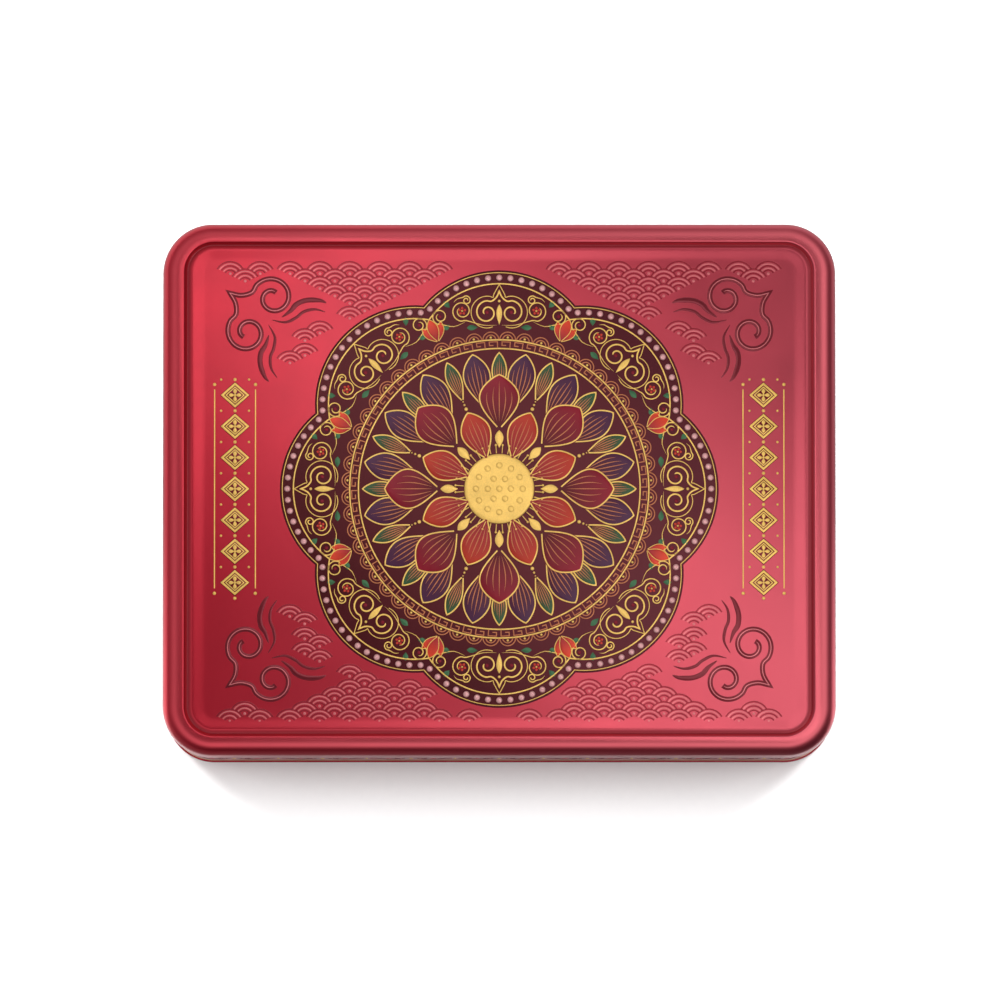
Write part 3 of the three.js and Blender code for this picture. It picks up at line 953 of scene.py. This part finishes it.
def lotus():
    """Rings of petals round a flat gold pod, each petal outlined and veined in gold."""
    rings = (
        ("sepals", SEPAL, 16, 0.0),
        ("outer_petals", OUTER_PETAL, 16, 0.5),
        ("middle_petals", MIDDLE_PETAL, 8, 0.0),
        ("inner_petals", INNER_PETAL, 8, 0.5),
    )
    lines, veins = MeshPlan(), MeshPlan()
    rise = size("line_rise")
    for name, petal, count, turn in rings:
        plan = MeshPlan()
        for heading in around(count, turn):
            place = turned(heading)
            petal_body(plan, petal, FIELD, place)
            strip(lines, petal_edge(petal, FIELD), size("line_width"), rise, place)
            for across in VEINS:
                vein = petal_vein(petal, FIELD, across, VEIN_START, VEIN_END - VEIN_SHORTER * abs(across))
                strip(veins, vein, VEIN_WIDTH, rise * VEIN_RISE, place, taper=VEIN_TAPER)
        make_piece("lotus_" + name, plan, name + " ink", "accent_lacquer")
    for heading in around(POD_LEAVES):
        petal_body(lines, POD_LEAF, FIELD, turned(heading), LEAF_ROWS)
        between = turned(heading + TURN / POD_LEAVES / 2)
        for radius, dot in LOTUS_DOTS:
            dome(lines, radius, 0, FIELD, dot, DOT_RISE, between, LOTUS_DOT_SIDES)
    for heading in around(STAMENS, 0.5):
        place = turned(heading)
        ground = FIELD + STAMEN_LEVEL
        strip(lines, [(radius, 0, ground) for radius in STAMEN_REACH], STAMEN_WIDTH, rise, place)
        dome(lines, STAMEN_REACH[1], 0, ground, STAMEN_DOT, DOT_RISE, place, DOT_SIDES)
    make_piece("lotus_lines", lines, "gold print", "gold_print")
    make_piece("lotus_veins", veins, "copper print", "gold_print")
    pod = MeshPlan()
    pod.loft([circle(POD_RADIUS - inset, POD_STEPS, FIELD + up) for inset, up in POD_EDGE])
    for count, radius in SEED_RINGS:
        for heading in around(count):
            dome(pod, radius, 0, FIELD + POD_RISE, SEED_RADIUS, SEED_RISE, turned(heading))
    make_piece("lotus_pod", pod, "gold print", "gold_print")


def cloud_head(scroll, eye, head, turns, wider=0.0):
    """A cloud head along +X: out of one scroll, up its neck to its point, and down into the other."""
    neck_along, neck_across = CLOUD_NECK
    neck = ((head + wider) * neck_along, head * neck_across + wider * ECHO_NECK)
    points = [(head + wider * ECHO_POINT, 0.0), neck]
    for u, v in spiral(scroll, 0, scroll + wider, eye + wider, CLOUD_START_ANGLE, -turns, CLOUD_STEPS):
        points.append((v, u))
    half = smooth(points, HEAD_SMOOTHING)
    return [*((u, -v) for u, v in reversed(half)), *half[1:]]


# The small cloud in each lobe, in the lobe's own frame: u runs outwards and v along the edge
SPRAY_PLACE = 71.0
SPRAY_SCROLL = 4.9
SPRAY_EYE = 1.2
SPRAY_HEAD = 8.6
SPRAY_TURNS = 1.4
# Its width in gold lines, and how much of each end is tapered
SPRAY_WIDTH = 1.15
SPRAY_TAPER = 0.03
# The thin line that goes round it
ECHO_EYE = 4.5
ECHO_TURNS = 0.62
ECHO_GAP = 1.7
ECHO_WIDTH = 0.65
# Tendrils of a lobe: the tail's points, then the scroll's middle, radius, first angle and end radius
TENDRILS = (
    (((65.9, 1.0), (65.9, 6.5)), (71.6, 14.9), 4.3, -2.7, 1.7),
    (((67.2, 13.6), (65.3, 18.2)), (69.3, 23.8), 3.3, -2.9, 1.2),
    (((75.0, 18.3), (76.4, 17.0)), (75.9, 13.2), 1.9, 0.9, 0.5),
)
TENDRIL_TURNS = -1.45
TENDRIL_STEPS = 16
TENDRIL_SMOOTHING = 3
# A tendril's width in gold lines, and how much of each end is tapered
TENDRIL_WIDTH = 0.85
TENDRIL_TAPER = 0.12
# Leaves of a lobe: place, length and heading
SPRAY_LEAVES = (((65.0, 8.6), 4.4, 1.62), ((72.9, 19.9), 3.4, 0.75), ((66.0, 19.8), 3.2, 2.2))
SPRAY_LEAF_WIDTH = 2.2
SPRAY_LEAF_RISE = 0.16
SPRAY_DOT_PLACE = 75.6
SPRAY_FLAME = Petal(66.0, 74.2, 2.3, 0.0, 0.2)
BUD_PLACE = 64.0
# A bud's petals: length, width, how high the edge stands and which way it turns
BUD_PETALS = ((9.6, 4.6, 0.1, 0.0), (8.2, 3.6, 0.0, 0.52), (8.2, 3.6, 0.0, -0.52))
BUD_RISE = 0.2
# The width of a bud's outline in gold lines
BUD_OUTLINE = 0.55
SMALL_ROWS = 8
FLOWER_PETALS = 5
FLOWER_PETAL = Petal(0.2, 1.75, 1.1, 0.0, 0.16)
# Round dots: radius, rise
FLOWER_DOT = (0.45, 0.3)
BERRY_DOT = (0.75, 0.25)
SCROLL_DOT = (0.8, 0.25)
POINT_DOT = (0.6, 0.25)


def placed_within(place, u, v, turn):
    """A placing inside another: turned and moved first, and then placed."""
    inner = turned(turn, u, v)
    return lambda x, y, h: place(*inner(x, y, h))


def lobe_sprays():
    """Clouds, tendrils and buds in the medallion's lobes."""
    gold, leaves, buds = MeshPlan(), MeshPlan(), MeshPlan()
    wide, rise = size("line_width"), size("line_rise")
    inner = cloud_head(SPRAY_SCROLL, SPRAY_EYE, SPRAY_HEAD, SPRAY_TURNS)
    outer = cloud_head(SPRAY_SCROLL, ECHO_EYE, SPRAY_HEAD, ECHO_TURNS, wider=ECHO_GAP)
    for heading in around(LOBES):
        for points, width, taper in ((inner, SPRAY_WIDTH, SPRAY_TAPER), (outer, ECHO_WIDTH, 0.0)):
            path = [(SPRAY_PLACE + u, v, FIELD) for u, v in points]
            strip(gold, path, wide * width, rise, turned(heading), taper=taper)
        for side in (1, -1):
            place = turned(heading, side=side)
            for tail, middle, radius, first, end in TENDRILS:
                scroll = spiral(*middle, radius, end, first, TENDRIL_TURNS, TENDRIL_STEPS)
                path = raised(smooth([*tail, *scroll], TENDRIL_SMOOTHING), FIELD)
                strip(gold, path, wide * TENDRIL_WIDTH, rise, place, taper=TENDRIL_TAPER)
            flower, berry = TENDRILS[0][1], TENDRILS[1][1]
            for turn in around(FLOWER_PETALS):
                petal_body(buds, FLOWER_PETAL, FIELD, placed_within(place, *flower, turn), SMALL_ROWS)
            dome(gold, *flower, FIELD, *FLOWER_DOT, place, DOT_SIDES)
            dome(buds, *berry, FIELD, *BERRY_DOT, place, DOT_SIDES)
            dome(buds, SPRAY_PLACE, SPRAY_SCROLL, FIELD, *SCROLL_DOT, place, DOT_SIDES)
            for (u, v), length, turn in SPRAY_LEAVES:
                leaf = Petal(0, length, SPRAY_LEAF_WIDTH, 0.0, SPRAY_LEAF_RISE)
                petal_body(leaves, leaf, FIELD, placed_within(place, u, v, turn), SMALL_ROWS)
        place = turned(heading)
        petal_body(gold, SPRAY_FLAME, FIELD, place, LEAF_ROWS)
        dome(gold, SPRAY_DOT_PLACE, 0, FIELD, *POINT_DOT, place, DOT_SIDES)
        cusp = turned(heading + HALF_LOBE)
        for length, width, edge, turn in BUD_PETALS:
            petal = Petal(0, length, width, edge, BUD_RISE)
            bud = placed_within(cusp, BUD_PLACE, 0, turn)
            petal_body(buds, petal, FIELD, bud)
            strip(gold, petal_edge(petal, FIELD), wide * BUD_OUTLINE, rise, bud)
    make_piece("spray_lines", gold, "gold print", "gold_print")
    make_piece("spray_leaves", leaves, "jade ink", "accent_lacquer")
    make_piece("spray_buds", buds, "vermilion ink", "accent_lacquer")


LOZENGE_EDGE = ((0, -ROOT_DEPTH), (0, 0.1), (CHAIN_EDGE * 0.4, CHAIN_RISE * 0.8), (CHAIN_EDGE, CHAIN_RISE))
# Gold lines on a lozenge: how far in from its sides and from its points, and their width
LOZENGE_LINES = ((0.9, 0.9, 1.0), (2.4, 2.2, 0.5))
LOZENGE_PETAL = Petal(0.3, 2.6, 1.5, 0.0, 0.16)
CHAIN_RAIL = 8.2
CHAIN_RAIL_REACH = 40.0
CHAIN_RAIL_WIDTH = 0.55
CHAIN_RAIL_DOT = 42.0
# Round dots: radius, rise
LOZENGE_DOT = (0.55, 0.22)
CHAIN_DOT = (0.7, 0.25)
CHAIN_SIDE_DOT = (0.5, 0.2)
CHAIN_SIDE_DOT_INSET = 0.4


def lozenge(u, v, half_width, half_length, ground):
    return [(u + half_width, v, ground), (u, v + half_length, ground),
            (u - half_width, v, ground), (u, v - half_length, ground)]


def lozenge_link(plates, gold, x, y, half_length):
    """One dark plate with a gold edge, a gold line inside it, and a flower of four petals."""
    half_width = CHAIN_WIDTH / 2
    plates.loft([
        lozenge(x, y, half_width - inset, half_length - inset, PANEL + up) for inset, up in LOZENGE_EDGE
    ])
    top = PANEL + CHAIN_RISE
    for across, along, width in LOZENGE_LINES:
        outline = lozenge(x, y, half_width - across, half_length - along, top)
        strip(gold, outline, width, size("line_rise"), closed=True)
    for heading in around(4):
        petal_body(gold, LOZENGE_PETAL, top, turned(heading, x, y))
    dome(gold, x, y, top, *LOZENGE_DOT)


def lozenge_chains():
    """Chains of lozenges with dots between them, up both sides of the panel, each between two rails."""
    plates, gold = MeshPlan(), MeshPlan()
    pitch = CHAIN_LENGTH / LOZENGES
    for x in (CHAIN_PLACE, -CHAIN_PLACE):
        dome(gold, x, -CHAIN_LENGTH / 2, PANEL, *CHAIN_DOT)
        for link in range(LOZENGES):
            y = (link - (LOZENGES - 1) / 2) * pitch
            lozenge_link(plates, gold, x, y, pitch * LOZENGE_SHARE / 2)
            dome(gold, x, y + pitch / 2, PANEL, *CHAIN_DOT)
            for side in (1, -1):
                beside = x + side * (CHAIN_WIDTH / 2 - CHAIN_SIDE_DOT_INSET)
                dome(gold, beside, y + pitch / 2, PANEL, *CHAIN_SIDE_DOT)
        for rail in (x - CHAIN_RAIL, x + CHAIN_RAIL):
            path = [(rail, side * CHAIN_RAIL_REACH, PANEL) for side in (-1, 1)]
            strip(gold, path, CHAIN_RAIL_WIDTH, size("line_rise"))
            for side in (-1, 1):
                dome(gold, rail, side * CHAIN_RAIL_DOT, PANEL, *CHAIN_DOT)
    make_piece("chain_plates", plates, "shade red", "red_lacquer")
    make_piece("chain_lines", gold, "gold print", "gold_print")


# A pale line of painted highlight along the crest of each cloud ribbon: its width, rise and taper
CLOUD_LINE = 0.42
CLOUD_LINE_RISE = 0.1
CLOUD_LINE_TAPER = 0.05
# Points of the ribbon that its pale painted highlight leaves bare at each end
CLOUD_LINE_BARE = 2
# How high the line lies, as a share of the ribbon's rise
CREST_SHARE = 0.9
TAIL_TAPER = 0.3
TAIL_STEPS = 8


def corner_clouds():
    """Tone-on-tone clouds, one to a corner of the panel, with a pale painted highlight along their
    ribbons.
    """
    plan, light = MeshPlan(), MeshPlan()
    wide = size("ribbon_width")
    crest = PANEL + CLOUD_RIBBON_RISE * CREST_SHARE
    head = cloud_head(CLOUD_SCROLL_RADIUS, CLOUD_EYE_RADIUS, CLOUD_HEAD, CLOUD_TURNS)
    for right, back in ((1, 1), (-1, 1), (-1, -1), (1, -1)):
        heading = math.atan2(back * CLOUD_ALONG, right * CLOUD_ACROSS)
        place = turned(heading, right * CLOUD_ACROSS, back * CLOUD_ALONG)
        strip(plan, raised(head, PANEL), wide, CLOUD_RIBBON_RISE, place)
        middle = raised(head[CLOUD_LINE_BARE:-CLOUD_LINE_BARE], crest)
        # Painted highlight: a pale line along the ribbon's crest
        strip(light, middle, CLOUD_LINE, CLOUD_LINE_RISE, place, taper=CLOUD_LINE_TAPER)
        for side in (1, -1):
            for width, streak in CLOUD_STREAKS:
                path = [(u, side * v, PANEL) for u, v in smooth(streak, TAIL_STEPS)]
                strip(plan, path, width * wide, CLOUD_RIBBON_RISE, place, taper=TAIL_TAPER)
    make_piece("corner_clouds", plan, "shade red", "red_lacquer")
    make_piece("cloud_lines", light, "blush", "red_lacquer")


WAVE_RADIUS = 6.0
# Arcs of a wave scale, in shares of its radius, and their widths
DARK_ARCS = (1.0, 0.71, 0.42)
LIGHT_ARCS = (0.855, 0.565)
DARK_WAVE_WIDTH = 0.68
LIGHT_WAVE_WIDTH = 0.62
WAVE_DOT = 0.62
# How far over its arcs' middle a scale's dot lies, as a share of its radius
WAVE_DOT_PLACE = 0.2
WAVE_RISE = 0.14
WAVE_STEPS = 8
# How near the tin's middle the waves start, and how clear they keep of what lies round them
WAVE_START = 46.0
WAVE_CLEAR = 2.0
WAVE_FRAME_CLEAR = -0.6
CLOUD_CLEAR = 1.7
# The middle of a cloud's head and how far it reaches, in shares of the head's length
HEAD_MIDDLE = 0.6
HEAD_REACH = 0.45


def on_open_panel(x, y):
    """Whether a point of the panel's corners is clear of the medallion, the frame and the clouds."""
    right, back = abs(x), abs(y)
    if back < WAVE_START or (right > CLOUD_ACROSS and back < CLOUD_ALONG):
        return False
    edge = PANEL_INSET + WAVE_FRAME_CLEAR
    round_x, round_y = corner_middle(edge)
    radius = size("corner_radius") - edge
    if math.hypot(max(right - round_x, 0), max(back - round_y, 0)) > radius:
        return False
    lobe = round(math.atan2(back, right) / (2 * HALF_LOBE)) * 2 * HALF_LOBE
    out = math.hypot(right - LOBE_CENTRE * math.cos(lobe), back - LOBE_CENTRE * math.sin(lobe))
    if out < size("lobe_radius") + WAVE_CLEAR:
        return False
    cloud = turned(math.atan2(CLOUD_ALONG, CLOUD_ACROSS), CLOUD_ACROSS, CLOUD_ALONG)
    kept_clear = [((0, side * CLOUD_SCROLL_RADIUS), CLOUD_SCROLL_RADIUS) for side in (1, -1)]
    kept_clear.append(((CLOUD_HEAD * HEAD_MIDDLE, 0), CLOUD_HEAD * HEAD_REACH))
    for _, streak in CLOUD_STREAKS:
        kept_clear += [((u, side * v), 0) for u, v in smooth(streak, 2) for side in (1, -1)]
    for middle, reach in kept_clear:
        near_x, near_y, _ = cloud(*middle, 0)
        if math.hypot(right - near_x, back - near_y) < reach + CLOUD_CLEAR:
            return False
    return True


def wave_arc(x, y, share):
    """One arc of a wave scale, as far down as the two scales in front of it leave it open."""
    overlap = (share ** 2 + 0.25) / (math.sqrt(5) * share)
    start = math.acos(overlap) - math.atan(0.5)
    return arc(x, y, WAVE_RADIUS * share, start, TURN / 2 - start, WAVE_STEPS)


def wave_scales():
    """Rows of overlapping wave scales on the open ground of the panel's corners, dark and light."""
    dark, light = MeshPlan(), MeshPlan()
    rows = int(TIN_DEPTH / WAVE_RADIUS)
    columns = int(TIN_WIDTH / WAVE_RADIUS / 2)
    for row in range(-rows, rows + 1):
        for column in range(-columns, columns + 1):
            x = (2 * column + row % 2) * WAVE_RADIUS
            y = (row + 0.5) * WAVE_RADIUS / 2
            if not all(on_open_panel(*point) for point in wave_arc(x, y, 1.0)):
                continue
            for plan, shares, width in (
                (dark, DARK_ARCS, DARK_WAVE_WIDTH), (light, LIGHT_ARCS, LIGHT_WAVE_WIDTH),
            ):
                for share in shares:
                    strip(plan, raised(wave_arc(x, y, share), PANEL), width, WAVE_RISE)
            dome(light, x, y + WAVE_RADIUS * WAVE_DOT_PLACE, PANEL, WAVE_DOT, WAVE_RISE, sides=DOT_SIDES)
    make_piece("wave_scales", dark, "wave red", "red_lacquer")
    make_piece("wave_lights", light, "blush", "red_lacquer")


WALL_UNITS = 26
WALL_CLOUD_HEIGHT = 21.5
# A wall cloud: radius of its scrolls and of their eyes, height and turns
WALL_CLOUD = (3.9, 1.2, 7.0, 1.3)
# Tails from under a wall cloud to halfway to the next: width in ribbons, and points along and up
WALL_TAILS = (
    (1.1, ((3.2, -5.0), (7.0, -6.6), (10.6, -5.4), (13.2, -2.6), (16.6, -1.4))),
    (0.8, ((8.2, -3.6), (10.2, -1.6), (11.2, 1.2), (13.4, 3.2), (16.6, 3.2))),
)
# Dots between the clouds: how high over the clouds' middle, and radius
WALL_DOTS = ((-3.0, 0.55), (1.0, 0.7), (5.0, 0.55))
# Dots in a cloud's eyes and under its head
WALL_DOT = 0.8
WALL_DOT_DROP = 3.4
WALL_RIBBON = 1.1
WALL_RISE = 0.22
WALL_STRIPES = (7.0, 35.5)
STRIPE_WIDTH = 0.8
STRIPE_RISE = 0.08
LOCK_SEAM_WIDTH = 4.0
LOCK_SEAM_TOP = 46.0


def wall_stripe(plan, wall, height):
    """A gold line that runs level round the base."""
    half = STRIPE_WIDTH / 2
    section = ((ROOT_DEPTH, -1), (-STRIPE_RISE * 0.6, -0.9), (-STRIPE_RISE, -0.5), (-STRIPE_RISE, 0.5),
               (-STRIPE_RISE * 0.6, 0.9), (ROOT_DEPTH, 1))
    plan.loft(tin_rings([(wall + inset, height + half * up) for inset, up in section]), closed=True)


def wall_bands():
    """Clouds and their tails in relief round the base, between gold pinstripes, and its lock seam."""
    wall = LID_WALL + SLIP_GAP
    place, perimeter = wall_place(wall)
    pitch = perimeter / WALL_UNITS
    clouds, lights, gold, seam = MeshPlan(), MeshPlan(), MeshPlan(), MeshPlan()
    for unit in range(WALL_UNITS):
        middle = unit * pitch
        if unit == WALL_UNITS // 2:
            seam_line = [(middle, SEAM_HEIGHT, 0.0), (middle, LOCK_SEAM_TOP, 0.0)]
            strip(seam, seam_line, LOCK_SEAM_WIDTH, WALL_RISE, place)
            continue
        path = [(middle + v, WALL_CLOUD_HEIGHT + u, 0.0) for u, v in cloud_head(*WALL_CLOUD)]
        strip(clouds, path, WALL_RIBBON, WALL_RISE, place)
        for side in (1, -1):
            for plan, (width, tail) in zip((clouds, lights), WALL_TAILS):
                path = [
                    (middle + side * u, WALL_CLOUD_HEIGHT + v, 0.0) for u, v in smooth(tail, TAIL_STEPS)
                ]
                strip(plan, path, width * WALL_RIBBON, WALL_RISE, place, taper=TAIL_TAPER)
        dots = [(lights, side * WALL_CLOUD[0], 0, WALL_DOT) for side in (1, -1)]
        dots.append((gold, 0, -WALL_DOT_DROP, WALL_DOT))
        dots += [(gold, pitch / 2, up, radius) for up, radius in WALL_DOTS]
        for plan, along, up, radius in dots:
            where = (middle + along, WALL_CLOUD_HEIGHT + up, 0.0)
            dome(plan, *where, radius, WALL_RISE, place, DOT_SIDES)
    for height in WALL_STRIPES:
        wall_stripe(gold, wall, height)
    make_piece("wall_clouds", clouds, "shade red", "base_lacquer")
    make_piece("wall_tails", lights, "blush", "base_lacquer")
    make_piece("wall_gold", gold, "gold print", "gold_print")
    make_piece("wall_seam", seam, "base lacquer", "base_lacquer")


# Stage

FLOOR_SIZE = 4.0
# The floor lies a hair below the tin's foot, so that the two never share a plane
FLOOR_DROP = 0.0001
FLOOR_ROUGHNESS = 0.9
FLOOR_SPECULAR = 0.1
FLOOR_GRAIN = 300.0
# How pale the floor is in the tin's gloss, from the front to the back: palest by the tin's front
MIRRORED = ((-0.25, 0.06), (-0.15, 0.08), (-0.122, 0.4), (-0.1, 0.6), (0.0, 0.2), (0.25, 0.24))
# How much paler it is at the left, and darker at the right, this far from the tin's middle
MIRRORED_SIDE = 0.05
MIRRORED_REACH = 0.25
LENS = 600.0
SENSOR = 36.0
CAMERA_ELEVATION = math.radians(85.6)
CAMERA_DISTANCE = 6.683
CAMERA_AIM = (0.0003, -0.00456, 0.06)
CAMERA_SEES = 100.0
FLOOR_PALE = (0.9, 0.9, 0.9, 1)
FLOOR_MOTTLE = (0.87, 0.87, 0.875, 1)


def value_ramp(tree, value, stops):
    """A value turned into another one by stops of (value, result)."""
    node = add_node(tree, "ShaderNodeValToRGB", {0: value})
    made = node.color_ramp.elements
    for stop, (position, level) in zip(made, (stops[0], stops[-1])):
        stop.position = position
        stop.color = (level, level, level, 1)
    for position, level in stops[1:-1]:
        made.new(position).color = (level, level, level, 1)
    return node.outputs[0]


def floor():
    """A pale floor that the tin's gloss sees darker than it is."""
    mesh = bpy.data.meshes.new("stage_floor")
    half = FLOOR_SIZE / 2
    corners = [(-half, -half), (half, -half), (half, half), (-half, half)]
    mesh.from_pydata([(x, y, -FLOOR_DROP) for x, y in corners], [], [(0, 1, 2, 3)])
    piece = bpy.data.objects.new("stage_floor", mesh)
    bpy.context.scene.collection.objects.link(piece)
    material = bpy.data.materials.new("pale floor")
    material.use_nodes = True
    tree = material.node_tree
    gloss = tree.nodes["Principled BSDF"]
    gloss.inputs["Roughness"].default_value = FLOOR_ROUGHNESS
    gloss.inputs["Specular IOR Level"].default_value = FLOOR_SPECULAR
    place = add_node(tree, "ShaderNodeTexCoord").outputs["Object"]
    grain = {"Vector": place, "Scale": FLOOR_GRAIN, "Detail": 3.0}
    noise = add_node(tree, "ShaderNodeTexNoise", grain)
    pale = mix_colour(tree, noise.outputs[0], FLOOR_PALE, FLOOR_MOTTLE)
    seen = add_node(tree, "ShaderNodeLightPath").outputs["Is Camera Ray"]
    axes = add_node(tree, "ShaderNodeSeparateXYZ", {0: place})
    half_share = math_node(tree, "MULTIPLY_ADD", axes.outputs["Y"], 0.5 / MIRRORED_REACH, 0.5)
    along = value_ramp(tree, half_share, [
        (0.5 + 0.5 * distance / MIRRORED_REACH, level) for distance, level in MIRRORED
    ])
    across = math_node(tree, "MULTIPLY", axes.outputs["X"], -MIRRORED_SIDE / MIRRORED_REACH)
    shown = mix_colour(tree, seen, math_node(tree, "ADD", along, across), pale)
    tree.links.new(shown, gloss.inputs["Base Color"])
    mesh.materials.append(material)


def area_light(name, place, width, depth, power):
    """A rectangle of light that faces straight down."""
    data = bpy.data.lights.new(name, "AREA")
    data.shape = "RECTANGLE"
    data.size = width
    data.size_y = depth
    data.energy = power
    light = bpy.data.objects.new(name, data)
    light.location = place
    bpy.context.scene.collection.objects.link(light)
    return light


# Lights: place, width, depth and power. The gloss doesn't see them.
LIGHTS = (
    ("key", (0.0, 0.544, 2.0), 1.0, 1.3, 33.0),
    ("front_fill", (0.0, -1.0, 2.0), 0.5, 0.5, 10.0),
    ("left_fill", (-1.2, 0.15, 1.5), 0.5, 0.5, 6.6),
    ("right_fill", (1.2, 0.15, 1.5), 0.5, 0.5, 6.6),
    ("left_rim", (-1.2, 1.0, 1.5), 0.5, 0.5, 48.0),
    ("right_rim", (1.2, 1.0, 1.5), 0.5, 0.5, 48.0),
)
# The card that only the gloss sees
CARD = ("card", (0.05, -0.008, 0.4), 0.52, 0.112, 0.215)
CARD_TURN = math.radians(-41)
# How bright the surroundings are from level, 0, to overhead, 1: to the front and right, and to the
# back and left
DARK_SIDE = (
    (0.0, 0.02), (0.4, 0.04), (0.5, 0.22), (0.6, 0.6), (0.75, 0.94), (0.9, 0.84), (0.96, 0.28), (1.0, 0.0),
)
PALE_SIDE = ((0.0, 0.18), (0.4, 0.3), (0.7, 0.42), (0.87, 0.44), (0.95, 0.18), (1.0, 0.0))
PALE_WAY = (-0.45, 0.55)


def studio():
    """Soft light from above and behind, a card over the tin, and surroundings that its edges see."""
    for light in LIGHTS:
        area_light(*light).visible_glossy = False
    card = area_light(*CARD)
    card.rotation_euler.z = CARD_TURN
    card.visible_diffuse = False
    world = bpy.data.worlds.new("soft studio")
    bpy.context.scene.world = world
    world.use_nodes = True
    tree = world.node_tree
    tree.nodes.clear()
    place = add_node(tree, "ShaderNodeTexCoord").outputs["Generated"]
    axes = add_node(tree, "ShaderNodeSeparateXYZ", {0: place}).outputs
    to_right, to_back = PALE_WAY
    across = math_node(tree, "MULTIPLY", axes["X"], to_right)
    along = math_node(tree, "MULTIPLY", axes["Y"], to_back)
    pale_share = math_node(tree, "ADD", math_node(tree, "ADD", across, along), 0.5)
    sides = [value_ramp(tree, axes["Z"], stops) for stops in (DARK_SIDE, PALE_SIDE)]
    sky = mix_colour(tree, pale_share, *sides)
    seen = add_node(tree, "ShaderNodeLightPath").outputs["Is Camera Ray"]
    shown = mix_colour(tree, seen, sky, (1.0, 1.0, 1.0, 1))
    back = add_node(tree, "ShaderNodeBackground", {"Color": shown})
    out = add_node(tree, "ShaderNodeOutputWorld")
    tree.links.new(back.outputs[0], out.inputs["Surface"])


def camera():
    """A long lens almost straight over the tin, a little from the front."""
    data = bpy.data.cameras.new("photo_camera")
    data.lens = LENS
    data.sensor_width = SENSOR
    data.clip_end = CAMERA_SEES
    taker = bpy.data.objects.new("photo_camera", data)
    aim = Vector(CAMERA_AIM)
    away = Vector((0, -math.cos(CAMERA_ELEVATION), math.sin(CAMERA_ELEVATION)))
    taker.location = aim + away * CAMERA_DISTANCE
    taker.rotation_euler = (math.pi / 2 - CAMERA_ELEVATION, 0, 0)
    bpy.context.scene.collection.objects.link(taker)
    bpy.context.scene.camera = taker
    bpy.context.scene.view_settings.view_transform = "Standard"


# Operators


class MakeLid(Operator):
    """Make the lid's pressed sheet"""

    bl_idname = "gift_tin.lid"
    bl_label = "Lid"

    def execute(self, context):
        lid_sheet()
        return {"FINISHED"}


class MakeBase(Operator):
    """Make the base's shell and bare underside"""

    bl_idname = "gift_tin.base"
    bl_label = "Base"

    def execute(self, context):
        base_shell()
        base_bottom()
        return {"FINISHED"}


class MakeMedallion(Operator):
    """Make the plum medallion, its beads and its gold borders"""

    bl_idname = "gift_tin.medallion"
    bl_label = "Medallion"

    def execute(self, context):
        medallion_plate()
        medallion_beads()
        medallion_border()
        return {"FINISHED"}


class MakeLotus(Operator):
    """Make the lotus in the middle"""

    bl_idname = "gift_tin.lotus"
    bl_label = "Lotus"

    def execute(self, context):
        lotus()
        return {"FINISHED"}


class MakeSprays(Operator):
    """Make the clouds, tendrils and buds of the lobes"""

    bl_idname = "gift_tin.sprays"
    bl_label = "Lobe sprays"

    def execute(self, context):
        lobe_sprays()
        return {"FINISHED"}


class MakeChains(Operator):
    """Make the chains of lozenges"""

    bl_idname = "gift_tin.chains"
    bl_label = "Lozenge chains"

    def execute(self, context):
        lozenge_chains()
        return {"FINISHED"}


class MakeClouds(Operator):
    """Make the tone-on-tone clouds and waves of the corners"""

    bl_idname = "gift_tin.clouds"
    bl_label = "Corner clouds"

    def execute(self, context):
        corner_clouds()
        wave_scales()
        return {"FINISHED"}


class MakeWallBands(Operator):
    """Make the scrolls and pinstripes round the base"""

    bl_idname = "gift_tin.wall_bands"
    bl_label = "Wall bands"

    def execute(self, context):
        wall_bands()
        return {"FINISHED"}


class MakeStage(Operator):
    """Make the floor, the light and the camera"""

    bl_idname = "gift_tin.stage"
    bl_label = "Stage"

    def execute(self, context):
        floor()
        studio()
        camera()
        return {"FINISHED"}


STEPS = (
    MakeLid, MakeBase, MakeMedallion, MakeLotus, MakeSprays, MakeChains, MakeClouds, MakeWallBands,
    MakeStage,
)


class GiftTinPanel(Panel):
    """The gift tin's steps, sizes and colours"""

    bl_idname = "VIEW3D_PT_gift_tin"
    bl_label = "Gift tin"
    bl_space_type = "VIEW_3D"
    bl_region_type = "UI"
    bl_category = "Gift tin"

    def draw(self, context):
        for step in STEPS:
            self.layout.operator(step.bl_idname)
        for group in (context.scene.tin_sizes, context.scene.tin_colours):
            for name in group.__annotations__:
                self.layout.prop(group, name)


CLASSES = (TinSizes, TinColours, *STEPS, GiftTinPanel)


def register():
    for kind in CLASSES:
        bpy.utils.register_class(kind)
    bpy.types.Scene.tin_sizes = PointerProperty(type=TinSizes)
    bpy.types.Scene.tin_colours = PointerProperty(type=TinColours)


def unregister():
    del bpy.types.Scene.tin_colours
    del bpy.types.Scene.tin_sizes
    for kind in reversed(CLASSES):
        bpy.utils.unregister_class(kind)


def main():
    register()
    bpy.ops.gift_tin.lid()
    bpy.ops.gift_tin.base()
    bpy.ops.gift_tin.medallion()
    bpy.ops.gift_tin.lotus()
    bpy.ops.gift_tin.sprays()
    bpy.ops.gift_tin.chains()
    bpy.ops.gift_tin.clouds()
    bpy.ops.gift_tin.wall_bands()
    bpy.ops.gift_tin.stage()


if __name__ == "__main__":
    main()
